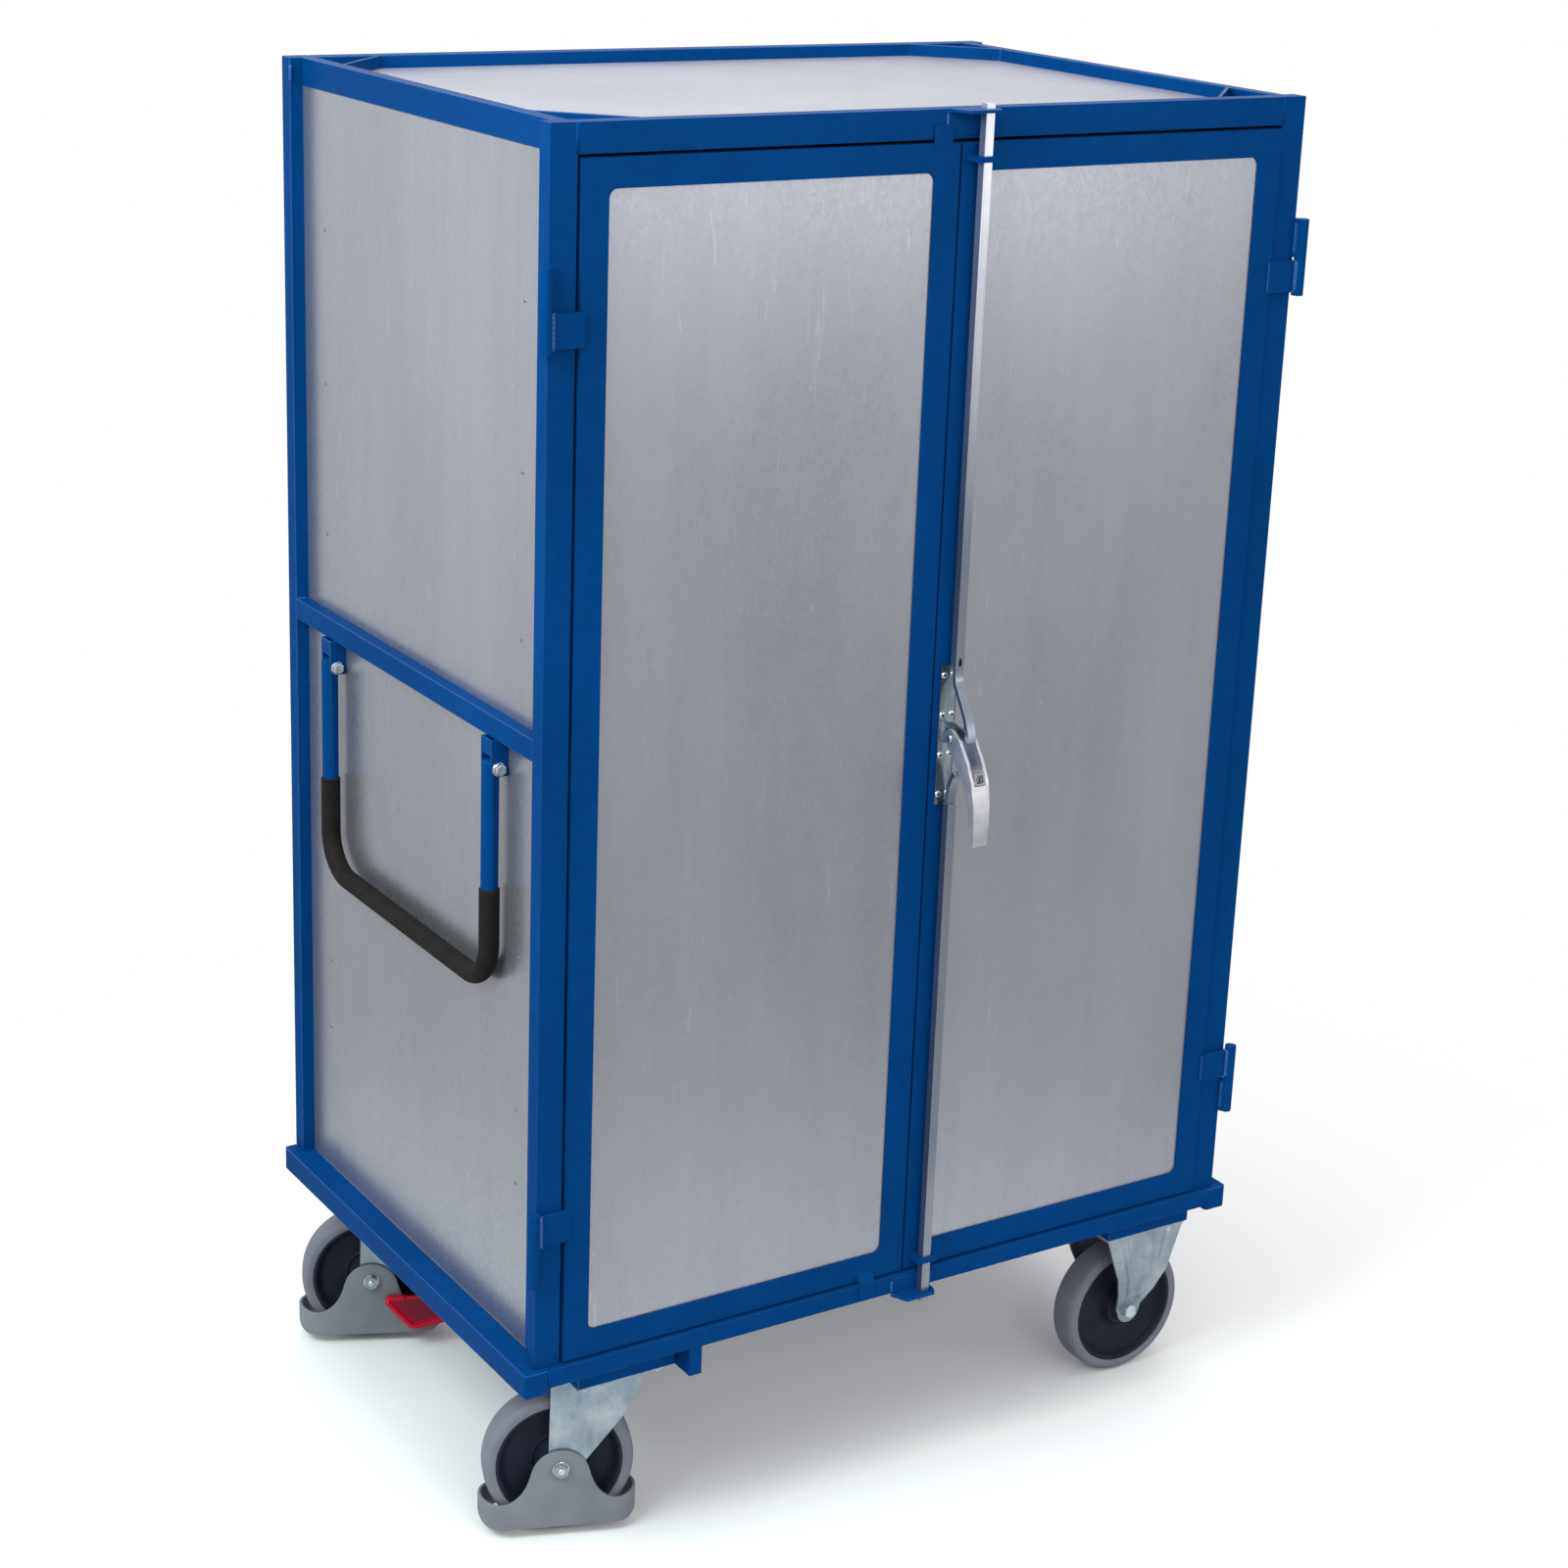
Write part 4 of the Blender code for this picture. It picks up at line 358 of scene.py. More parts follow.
def piece(name, bm, body, look, smooth=40, bevel=None):
    """A new mesh object that rides on a body, with its finish and softened edges."""
    bmesh.ops.recalc_face_normals(bm, faces=bm.faces)
    mesh = bpy.data.meshes.new(name)
    bm.to_mesh(mesh)
    bm.free()
    made = bpy.data.objects.new(name, mesh)
    bpy.context.scene.collection.objects.link(made)
    mesh.materials.append(look)
    mesh.shade_smooth()
    if smooth:
        mesh.set_sharp_from_angle(angle=math.radians(smooth))
    if bevel:
        rounding = made.modifiers.new("edge", "BEVEL")
        rounding.width = bevel
        rounding.segments = 2
        rounding.limit_method = "ANGLE"
        rounding.angle_limit = math.radians(30)
        rounding.harden_normals = True
    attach(made, body)
    return made


def turned(place, direction):
    """A frame at a place whose Z axis looks along a direction."""
    turn = Vector(direction).to_track_quat("Z", "Y").to_matrix().to_4x4()
    return Matrix.Translation(place) @ turn


def circle(radius, steps, phase=0.0):
    angles = [phase + 2 * math.pi * step / steps for step in range(steps)]
    return [(radius * math.cos(angle), radius * math.sin(angle)) for angle in angles]


def arc(centre, radius, start, end, count):
    angles = [math.radians(start + (end - start) * step / count) for step in range(count + 1)]
    return [(centre[0] + radius * math.cos(angle), centre[1] + radius * math.sin(angle))
            for angle in angles]


def rounded_square(half, radius):
    points = []
    for x, y, start in ((1, 1, 0), (-1, 1, 90), (-1, -1, 180), (1, -1, 270)):
        points += arc((x * (half - radius), y * (half - radius)), radius, start, start + 90, 4)
    return points


def flat_row(bm, points, height, place):
    """New vertices for an outline of (a, b) points at one height over a frame."""
    return [bm.verts.new(place @ Vector((a * MM, b * MM, height * MM))) for a, b in points]


def skin(bm, rows, ends=True, closed=False):
    """Faces between loops of vertices. A loop may be a single vertex, as at a cone's tip."""
    pairs = list(zip(rows, rows[1:]))
    if closed:
        pairs.append((rows[-1], rows[0]))
    for low, high in pairs:
        count = max(len(low), len(high))
        for index in range(count):
            after = (index + 1) % count
            corners = (low[index % len(low)], low[after % len(low)],
                       high[after % len(high)], high[index % len(high)])
            bm.faces.new(tuple(dict.fromkeys(corners)))
    if ends:
        bm.faces.new(rows[0][::-1])
        bm.faces.new(rows[-1])


def add_lathe(bm, profile, place, steps=48, closed=False):
    """A turned surface round a frame's Z axis, from (radius, height) points."""
    rows = [flat_row(bm, circle(radius, steps) if radius else [(0, 0)], height, place)
            for radius, height in profile]
    skin(bm, rows, ends=False, closed=closed)


def add_prism(bm, points, low, high, place):
    skin(bm, [flat_row(bm, points, height, place) for height in (low, high)])


def add_box(bm, low, high):
    corners = [(x, y, z) for x in (low[0], high[0]) for y in (low[1], high[1])
               for z in (low[2], high[2])]
    verts = [bm.verts.new(corner) for corner in corners]
    for face in ((0, 1, 3, 2), (4, 6, 7, 5), (0, 4, 5, 1), (2, 3, 7, 6), (0, 2, 6, 4),
                 (1, 5, 7, 3)):
        bm.faces.new([verts[index] for index in face])


def add_hex_head(bm, place, across, height, washer=None, washer_height=0.0):
    """A chamfered hexagon head that stands on a frame's XY plane, with its washer if it has one."""
    if washer:
        add_lathe(bm, [(0, 0), (washer, 0), (washer, washer_height * 0.8),
                       (washer - 0.4, washer_height), (0, washer_height)], place, 32)
    radius = across / math.sqrt(3)
    skin(bm, [flat_row(bm, circle(radius * share, 6, math.pi / 6), washer_height + rise, place)
              for share, rise in ((1.0, 0.0), (1.0, height * 0.82), (0.87, height))])


def add_rivet(bm, place, radius, height, hole=0.0):
    """A domed blind rivet, with its small hole where it has one."""
    profile = [(radius, 0), (radius * 0.96, height * 0.35), (radius * 0.78, height * 0.75),
               (radius * 0.5, height)]
    if hole:
        profile += [(hole, height * 1.02), (hole * 0.9, height * 0.35), (0, height * 0.3)]
    else:
        profile += [(0, height * 1.08)]
    add_lathe(bm, profile, place, RIVET_STEPS)


def add_weld(bm, start, end, radius, seed):
    """A lumpy, slightly flat weld bead between two places, thinner at its ends."""
    length = (end - start).length
    along = (end - start).normalized()
    turn = along.to_track_quat("Z", "Y").to_matrix()
    bead = length / (radius * MM)
    count = max(int(bead / 0.45), 4)
    rows = []
    for index in range(count + 1):
        t = index / count
        ripple = (0.86 + 0.16 * abs(math.sin(index * 0.9 + seed))
                  + 0.10 * noise.noise(Vector((t * 17 + seed, seed, 0))))
        fade = min(1.0, 0.75 * t * bead + 0.35, 0.75 * (1 - t) * bead + 0.35)
        size = radius * MM * ripple * fade
        rows.append([bm.verts.new(start + along * length * t
                                  + turn @ Vector((a * size, b * size * WELD_SQUASH, 0)))
                     for a, b in circle(1, WELD_STEPS)])
    skin(bm, rows)


def add_tube(bm, path, radius, steps=TUBE_STEPS, ends=True):
    """A round tube through points given in metres."""
    rows = []
    side = None
    for index, point in enumerate(path):
        before = path[max(index - 1, 0)]
        after = path[min(index + 1, len(path) - 1)]
        tangent = (after - before).normalized()
        if side is None:
            side = tangent.orthogonal().normalized()
        else:
            side = (side - tangent * side.dot(tangent)).normalized()
        other = tangent.cross(side)
        rows.append([bm.verts.new(point + (side * a + other * b) * MM)
                     for a, b in circle(radius, steps)])
    skin(bm, rows, ends=ends)


RIDGE_SINK = 0.3
RIDGE_SECTION = ((1, 0), (0.62, 0.9), (0.5, 1), (-0.5, 1), (-0.62, 0.9), (-1, 0))


def add_ridge(bm, path, out, across, width, height):
    """A low rounded ridge along a path on a sheet, with faded ends."""
    rows = []
    for index, point in enumerate(path):
        t = index / (len(path) - 1)
        swell = min(1.0, 0.15 + 6 * t, 0.15 + 6 * (1 - t))
        rows.append([bm.verts.new(point + across * (width / 2 * MM * beside)
                                  + out * ((height * swell * rise - RIDGE_SINK) * MM))
                     for beside, rise in RIDGE_SECTION])
    skin(bm, rows)


def add_frame(bm, outer, inner, low, high, place):
    """A flat frame between two outlines with the same number of points, chamfered outside."""
    chamfer = 0.3
    narrowed = [(a * 0.965, b * 0.965) for a, b in outer]
    section = ((outer, low), (outer, high - chamfer), (narrowed, high), (inner, high), (inner, low))
    skin(bm, [flat_row(bm, points, height, place) for points, height in section],
         ends=False, closed=True)


# Finishes and rounded edges of the CAD nodes

LOOKS = {"blue_paint": BLUE, "galvanised_sheet": SHEET, "zinc_plate": ZINC,
         "cast_aluminium": CAST, "grey_tyre": TYRE, "dark_hub": HUB, "grey_guard": GUARD,
         "red_pedal": PEDAL, "black_grip": GRIP}
SPECIAL = {"top_sheet": TOP_SHEET, "lock_plate": LOCK_PLATE, "upper_lock_bar": BAR,
           "lower_lock_bar": BAR, "upper_lock_link": BAR, "lower_lock_link": BAR}
BEVELS = {"blue_paint": 0.0016, "zinc_plate": 0.0006, "cast_aluminium": 0.0012,
          "galvanised_sheet": 0.0003}
SQUARE_EDGED = "base_cross_member"


def soften(node, width, edge_highlight=None):
    """Rounds the edges of a CAD node with modifiers; its own mesh stays as it is."""
    mesh = node.data
    if "custom_normal" in mesh.attributes:
        mesh.attributes.remove(mesh.attributes["custom_normal"])
    mesh.shade_smooth()
    weld = node.modifiers.new("join", "WELD")
    weld.merge_threshold = 0.00001
    flat = node.modifiers.new("flat", "DECIMATE")
    flat.decimate_type = "DISSOLVE"
    flat.angle_limit = math.radians(0.5)
    edge = node.modifiers.new("edge", "BEVEL")
    edge.width = width
    edge.segments = 3
    edge.limit_method = "ANGLE"
    edge.angle_limit = math.radians(35)
    edge.use_clamp_overlap = True
    edge.harden_normals = False
    # The rounded edges take the edge finish, whose lighter blue is a painted highlight.
    if edge_highlight:
        mesh.materials.append(edge_highlight)
        edge.material = 1
    normals = node.modifiers.new("normals", "WEIGHTED_NORMAL")
    normals.keep_sharp = False
    normals.weight = 60


for entry in frame["record"]["subparts"]:
    name = entry["node"]
    slot = entry["material_slot"]
    node = frame["nodes"][name]
    node.data.materials.clear()
    node.data.materials.append(SPECIAL.get(name, LOOKS[slot]))
    if slot in BEVELS and name != SQUARE_EDGED:
        soften(node, BEVELS[slot], BLUE_EDGE_HIGHLIGHT if slot == "blue_paint" else None)

# Cabinet: rivets, slots of the shelf rails, welds and ground seams

PANEL_X = 532
BACK_Y = 350
RAIL_Y = 278
BACK_RIVET_X = 500
SIDE_RIVET_ROWS = (1634, 1432, 1229, 1025, 821, 617, 516)
BACK_RIVET_ROWS = (1634, 1432, 1229, 1025, 821, 617, 416)


def panel_rivets(name, places, way):
    bm = bmesh.new()
    for place in places:
        add_rivet(bm, turned(place, way), 2.8, 0.9, hole=0.8)
    piece(name, bm, "cabinet", RIVET)


for name, side in (("left_side_rivets", -1), ("right_side_rivets", 1)):
    places = [at(side * PANEL_X, y, z) for y in (-RAIL_Y, RAIL_Y) for z in SIDE_RIVET_ROWS]
    panel_rivets(name, places, (side, 0, 0))
places = [at(x, BACK_Y, z) for x in (-BACK_RIVET_X, BACK_RIVET_X) for z in BACK_RIVET_ROWS]
panel_rivets("back_rivets", places, (0, 1, 0))

SLOT_FACE_X = (515.5, 515.38)
SLOT_HALF_WIDTH = 3.5
SLOT_HALF_HEIGHT = 6
SLOT_COUNT = 56
SLOT_START = 336
SLOT_PITCH = 26

# Each slot is a thin dark patch on the post's inner face: painted shade where the hole is.
bm = bmesh.new()
for side in SIDES:
    for y in (-RAIL_Y, RAIL_Y):
        for index in range(SLOT_COUNT):
            z = SLOT_START + index * SLOT_PITCH
            add_box(bm, at(side * SLOT_FACE_X[0], y - SLOT_HALF_WIDTH, z - SLOT_HALF_HEIGHT),
                    at(side * SLOT_FACE_X[1], y + SLOT_HALF_WIDTH, z + SLOT_HALF_HEIGHT))
piece("shelf_rail_slots", bm, "cabinet", RECESS_SHADE, smooth=0)

# The height where each hinge's two halves meet, and the way from there to the frame's half.
HINGE_SPLITS = ((1640, 1), (470, -1))
HINGE_BEAD = (549.6, -372.5)
HINGE_BEAD_SPAN = (3, 47)
POST_BEAD = (533, -340.5)
# Start, end and seed of the beads at each front post's head and foot.
POST_BEADS = ((1841, 1815, 18.11), (302.5, 318.5, 3.005))
MID_RAIL_BEAD_X = (535, 548)
MID_RAIL_BEAD_Y = 341.2
MID_RAIL_EDGES = ((1125.4, 1), (1096.6, -1))
REAR_POST_BEAD = (549.9, 341)
REAR_POST_BEAD_SPAN = (1816, 1838)
# Each bead beside the bars' two keepers: x, y, start, end and seed.
KEEPER_BEADS = ((-14.5, -369.2, 1818, 1842, 3), (47.4, -369.2, 1818, 1842, 5),
                (-14.5, -378.6, 278, 294, 7), (47.4, -378.6, 278, 294, 9))


def add_upright_weld(bm, x, y, start, end, radius, seed):
    add_weld(bm, at(x, y, start), at(x, y, end), radius, seed)


bm = bmesh.new()
for side in SIDES:
    x, y = HINGE_BEAD
    for split, up in HINGE_SPLITS:
        start, end = (split + up * reach for reach in HINGE_BEAD_SPAN)
        add_upright_weld(bm, side * x, y, start, end, 4.0, split * 0.1 + side)
    x, y = POST_BEAD
    for start, end, seed in POST_BEADS:
        add_upright_weld(bm, side * x, y, start, end, 2.2, side + seed)
    for y in (-MID_RAIL_BEAD_Y, MID_RAIL_BEAD_Y):
        for z, way in MID_RAIL_EDGES:
            start, end = (at(side * x, y, z) for x in MID_RAIL_BEAD_X)
            add_weld(bm, start, end, 2.0, side + way * y)
for side in SIDES:
    x, y = REAR_POST_BEAD
    add_upright_weld(bm, side * x, y, *REAR_POST_BEAD_SPAN, 2.6, side)
for x, y, start, end, seed in KEEPER_BEADS:
    add_upright_weld(bm, x, y, start, end, 2.0, seed)
piece("cabinet_welds", bm, "cabinet", BLUE_WELD_HIGHLIGHT, smooth=60)

# Ground and painted seams, where the frame's members are welded flush.
SEAM_HALF_WIDTH = 2.3
SEAM_PROUD = 0.12
SEAM_SINK = 0.2
# Each seam's x, its face's y, and its lower and upper end.
SEAMS = ((533, -378, 275.6, 299.4), (515, -368, 1811.6, 1846.4))

bm = bmesh.new()
for side in SIDES:
    for x, y, low, high in SEAMS:
        add_box(bm, at(side * x - SEAM_HALF_WIDTH, y - SEAM_PROUD, low),
                at(side * x + SEAM_HALF_WIDTH, y + SEAM_SINK, high))
piece("painted_seams", bm, "cabinet", BLUE, smooth=0)

# Doors: welds of the hinge straps, on the door's frame, at the barrel's ends and along it

STRAP_SPAN = (4, 45)
STRAP_BEAD = (507.5, -373.4)
BARREL_BEAD = (549, -377.6)
BARREL_END_BEAD = ((544, -374), (550, -377))

for side, body in ((-1, "left_door"), (1, "right_door")):
    bm = bmesh.new()
    for split, up in HINGE_SPLITS:
        near, far = (split - up * reach for reach in STRAP_SPAN)
        x, y = STRAP_BEAD
        add_upright_weld(bm, side * x, y, near, far, 2.6, split + side)
        for z in (near, far):
            start, end = (at(side * x, y, z) for x, y in BARREL_END_BEAD)
            add_weld(bm, start, end, 2.6, z)
        x, y = BARREL_BEAD
        add_upright_weld(bm, side * x, y, near, far, 3.6, far)
    piece(body + "_welds", bm, body, BLUE_WELD_HIGHLIGHT, smooth=60)

# Lever lock

LOCK_X = 31
PLATE_FRONT = -375.3
PLATE_RIVET_X = (20.2, 34.6)
PLATE_RIVET_ROWS = (1139, 1086, 1033, 980)
LEVER_PIVOT = (LOCK_X, -399, 1062)
LUG_OUT = 15.2
BAR_FRONT = -393
BAR_SLOT_Z = 1159
# A thin dark disc in each plate rivet's hole, as painted shade.
RIVET_HOLE_SHADE = [(0, 1.0), (1.74, 1.0), (1.74, 0.2), (0, 0.2)]

bm = bmesh.new()
centres = bmesh.new()
for z in PLATE_RIVET_ROWS:
    for x in PLATE_RIVET_X:
        place = turned(at(x, PLATE_FRONT, z), (0, -1, 0))
        add_rivet(bm, place, 4.5, 2.0, hole=1.8)
        add_lathe(centres, RIVET_HOLE_SHADE, place, 16)
for side in SIDES:
    place = at(LEVER_PIVOT[0] + side * LUG_OUT, *LEVER_PIVOT[1:])
    add_rivet(bm, turned(place, (side, 0, 0)), 5.6, 1.6)
piece("lock_plate_rivets", bm, "right_door", STEEL)
piece("lock_plate_rivet_centres", centres, "right_door", RECESS_SHADE)

# The escutcheon and a thin dark rim round it lie square to the lever's face, round the lock cylinder.
LEVER_FACE = (0, -0.946, 0.325)
CYLINDER_RADIUS = 6.7

cylinder_low, cylinder_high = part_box("lock_cylinder")
key = Vector((LOCK_X * MM, cylinder_low.y, (cylinder_low.z + cylinder_high.z) / 2))
face = turned(key + Vector((0, 0.6 * MM, 0)), LEVER_FACE)
square = rounded_square(8.2, 1.6)
hole = [(CYLINDER_RADIUS * a / math.hypot(a, b), CYLINDER_RADIUS * b / math.hypot(a, b))
        for a, b in square]
bm = bmesh.new()
add_frame(bm, rounded_square(8.7, 2.0), [(a * 0.97, b * 0.97) for a, b in square], -2.4, 0.45, face)
piece("escutcheon_dark_rim", bm, "lever", RECESS_SHADE, smooth=30)
bm = bmesh.new()
add_frame(bm, square, hole, -2.4, 1.2, face)
piece("escutcheon", bm, "lever", ESCUTCHEON, smooth=30)

# The keyway and a thin ring round the cylinder's face are dark shapes: painted shade in the keyhole and in the gap
# round the cylinder.
bm = bmesh.new()
front = turned(key, (0, -1, 0))
add_prism(bm, [(-0.7, -3.6), (0.7, -3.6), (0.7, 3.6), (-0.7, 3.6)], 0.0, 0.12, front)
add_lathe(bm, [(5.15, 0.0), (5.15, 0.1), (4.75, 0.1), (4.75, 0.0)], front, 32, closed=True)
piece("key_slot", bm, "lock_cylinder", RECESS_SHADE, smooth=0)

# The slot near the upper bar's lower end, a thin dark shape: painted shade in the slot.
bm = bmesh.new()
add_prism(bm, arc((0, 3.2), 2.2, 0, 180, 8) + arc((0, -3.2), 2.2, 180, 360, 8), 0.0, 0.12,
          turned(at(LOCK_X, BAR_FRONT, BAR_SLOT_Z), (0, -1, 0)))
piece("upper_bar_slot", bm, "upper_lock", RECESS_SHADE, smooth=0)

# Push handle: foam sleeve, bolt heads and the caps of the tube's ends

HANDLE_X = -550
HANDLE_Y = 235
HANDLE_LOW = 772
HANDLE_BEND = 55
HANDLE_TOP = 1065.6
HANDLE_PIVOT = (-545.5, 1059)
SLEEVE_TOP = 900
TUBE_RADIUS = 11.1
SLEEVE_RADIUS = 13.0


def sleeve_line():
    low = HANDLE_LOW + HANDLE_BEND
    middle = (SLEEVE_TOP + low) / 2
    bend_y = HANDLE_Y - HANDLE_BEND
    left = arc((-bend_y, low), HANDLE_BEND, 180, 270, 14)
    right = arc((bend_y, low), HANDLE_BEND, 270, 360, 14)
    stops = [(-HANDLE_Y, SLEEVE_TOP), (-HANDLE_Y, middle), *left, (-60, HANDLE_LOW),
             (60, HANDLE_LOW), *right, (HANDLE_Y, middle), (HANDLE_Y, SLEEVE_TOP)]
    return [at(HANDLE_X, y, z) for y, z in stops]


bm = bmesh.new()
for radius in (SLEEVE_RADIUS, TUBE_RADIUS):
    add_tube(bm, sleeve_line(), radius, ends=False)
sleeve = piece("push_handle_sleeve", bm, "push_handle", GRIP)

bm = bmesh.new()
for y in (-HANDLE_Y, HANDLE_Y):
    add_lathe(bm, [(11.05, -2), (13.0, -2), (13.0, 0.6), (12.2, 1.4), (11.05, 1.6)],
              turned(at(HANDLE_X, y, SLEEVE_TOP), UP), TUBE_STEPS, closed=True)
piece("push_handle_sleeve_ends", bm, "push_handle", GRIP)
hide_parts("push_handle_grip")

bm = bmesh.new()
for y in (-HANDLE_Y, HANDLE_Y):
    for way in SIDES:
        place = at(HANDLE_PIVOT[0], y + way * 13.85, HANDLE_PIVOT[1])
        add_hex_head(bm, turned(place, (0, way, 0)), 13.6, 6.4, washer=8.8, washer_height=1.2)
piece("handle_bolt_heads", bm, "cabinet", STEEL, smooth=30, bevel=0.0003)
bm = bmesh.new()
for y in (-HANDLE_Y, HANDLE_Y):
    add_lathe(bm, [(11.0, -2.0), (11.0, 0.0), (10.6, 1.0), (9.4, 1.9), (7.2, 2.6), (4.0, 3.0),
                   (0, 3.1)], turned(at(HANDLE_X, y, HANDLE_TOP), UP), 32)
piece("handle_tube_caps", bm, "push_handle", BLUE, smooth=60)

# Wheels. Half of each turned profile, as (radius, distance from the wheel's middle).

TYRE_PROFILE = [(84.0, 21.6), (87.5, 22.3), (90.5, 22.8), (93.2, 22.5), (95.4, 21.2), (97.3, 18.9),
                (98.6, 15.8), (99.3, 12.0), (99.6, 7.0), (99.69, 0.0)]
TYRE_SEAT = [(83.6, -20.0), (83.6, 20.0)]
HUB_PROFILE = [(84.2, 20.2), (82.6, 21.0), (80.2, 20.9), (78.6, 19.6), (76.6, 14.0), (74.0, 9.4),
               (72.4, 8.2), (71.4, 8.9), (69.8, 8.7), (68.8, 7.6), (60.0, 6.6), (46.0, 6.0),
               (37.5, 6.0), (36.2, 7.2), (34.4, 7.4), (33.0, 5.6), (31.0, 5.4), (29.0, 8.0),
               (27.6, 14.5), (26.2, 17.8), (24.0, 19.0), (21.4, 19.4), (20.6, 24.2), (19.6, 25.6),
               (15.5, 26.2), (14.8, 25.4), (11.6, 25.4), (11.0, 27.0), (6.7, 27.0)]


def joint_place(name):
    joint = [entry for entry in frame["joints"] if entry["name"] == name][0]
    return Vector(joint["pos_m"]), Vector(joint["axis"]).normalized()


def wheel(label):
    centre, axis = joint_place(label + "_wheel_spin")
    place = turned(centre, axis)
    bm = bmesh.new()
    far_half = [(radius, -width) for radius, width in TYRE_PROFILE[-2::-1]]
    add_lathe(bm, TYRE_PROFILE + far_half + TYRE_SEAT, place, 112, closed=True)
    tyre = piece(label + "_tyre_detail", bm, label + "_wheel", TYRE, smooth=50)
    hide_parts(label + "_tyre")
    bm = bmesh.new()
    far_half = [(radius, -width) for radius, width in HUB_PROFILE[::-1]]
    add_lathe(bm, HUB_PROFILE + far_half, place, 96, closed=True)
    hub = piece(label + "_hub_detail", bm, label + "_wheel", HUB, smooth=35)
    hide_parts(label + "_hub")


for label in ("front_swivel", "rear_swivel", "front_fixed", "rear_fixed"):
    wheel(label)

# Casters: plate bolts

AXLE_Z = 99.69
CASTER_Y = 288
SWIVEL_X = -405
FIXED_X = 453.5
PLATE_LOW = 237
PLATE_BOLTS = [(x, y) for x in (-54, 54) for y in (-43, 43)]

for label, x, y in (("front_swivel", SWIVEL_X, -CASTER_Y), ("rear_swivel", SWIVEL_X, CASTER_Y),
                    ("front_fixed", FIXED_X, -CASTER_Y), ("rear_fixed", FIXED_X, CASTER_Y)):
    bm = bmesh.new()
    for beside, behind in PLATE_BOLTS:
        place = at(x + beside, y + behind, PLATE_LOW)
        add_hex_head(bm, turned(place, -UP), 15, 5.6, washer=9.5, washer_height=1.6)
    piece(label + "_plate_bolts", bm, "cabinet", STEEL, smooth=30, bevel=0.0003)

# Foot guards. The upper edge of one half, as (distance from the axle along the wheel, height).

GUARD_LINE = [(0, 127.0), (5.0, 126.7), (10.0, 125.7), (15.0, 124.0), (19.5, 121.8),
              (24.0, 118.8), (28.0, 115.2), (31.5, 111.0), (34.5, 106.2), (36.8, 101.0),
              (38.6, 95.0), (40.2, 89.0), (42.2, 83.0), (45.0, 76.0), (48.4, 69.8), (52.5, 64.2),
              (57.0, 59.6), (62.0, 55.8), (68.2, 52.8), (74.0, 51.2), (80.0, 50.4), (86.0, 50.2),
              (91.0, 50.6), (95.5, 51.2), (99.5, 51.8), (102.5, 52.2), (104.0, 52.4),
              (104.5, 52.5)]
GUARD_STRAIGHT = 68.2
GUARD_OUT = 36.3
GUARD_WALL = 4.5
GUARD_FOOT = 15.0
# Where the foot starts to rise towards the toe, over what length, and how far.
GUARD_TOE = (88.5, 16.0, 14.0)
GUARD_END = 104
# The rounded rim, as (distance in from the outer face, distance down from the edge).
GUARD_RIM = ((0.0, 1.6), (0.5, 0.5), (1.5, 0.0), (GUARD_WALL - 1.5, 0.0), (GUARD_WALL - 0.5, 0.5),
             (GUARD_WALL, 1.6))
GUARD_BOSS = [(15.5, -0.5), (15.5, 0.5), (14.9, 1.0), (12.4, 1.0), (12.0, 0.4), (12.0, -0.5)]
AXLE_STUD = [(0, 6.1), (4.6, 6.1), (4.6, 7.2), (4.0, 7.8), (0, 7.8)]


def guard_loop():
    """The upper edge all round: (along, height, side), out along one wall and back on the other."""
    fine = []
    for (xa, za), (xb, zb) in zip(GUARD_LINE, GUARD_LINE[1:]):
        fine += [(xa, za), ((xa + xb) / 2, (za + zb) / 2)]
    fine.append(GUARD_LINE[-1])
    line = fine[::-1] + [(-x, z) for x, z in fine[1:]]
    return [(x, z, -1) for x, z in line] + [(x, z, 1) for x, z in line[-2:0:-1]]


def guard_wall(x, side, inset):
    """Where the guard's stadium outline lies at this x, this far inside its outer face."""
    reach = GUARD_OUT - inset
    if abs(x) <= GUARD_STRAIGHT:
        return x, side * reach
    angle = math.asin(min((abs(x) - GUARD_STRAIGHT) / GUARD_OUT, 1.0))
    return (math.copysign(GUARD_STRAIGHT + reach * math.sin(angle), x),
            side * reach * math.cos(angle))


def guard_foot(loop, inset):
    """The open lower edge, which rises at the toes."""
    start, run, rise = GUARD_TOE
    places = []
    for x, _, side in loop:
        t = min(max(abs(x) - start, 0.0) / run, 1.0)
        places.append((*guard_wall(x, side, inset), GUARD_FOOT + rise * (1 - math.sqrt(1 - t * t))))
    return places


def guard_rim(loop, inset, drop):
    """The upper edge, moved square to itself into the guard by drop."""
    places = []
    for index, (x, z, side) in enumerate(loop):
        before = loop[index - 1]
        after = loop[(index + 1) % len(loop)]
        slope = Vector((after[0] - before[0], after[1] - before[1]))
        normal = Vector((0, 1))
        if slope.length > 1e-6 and abs(x) < GUARD_END:
            normal = Vector((-slope.y, slope.x)).normalized()
            if normal.y < 0:
                normal = -normal
        places.append((*guard_wall(x - normal.x * drop, side, inset), z - normal.y * drop))
    return places


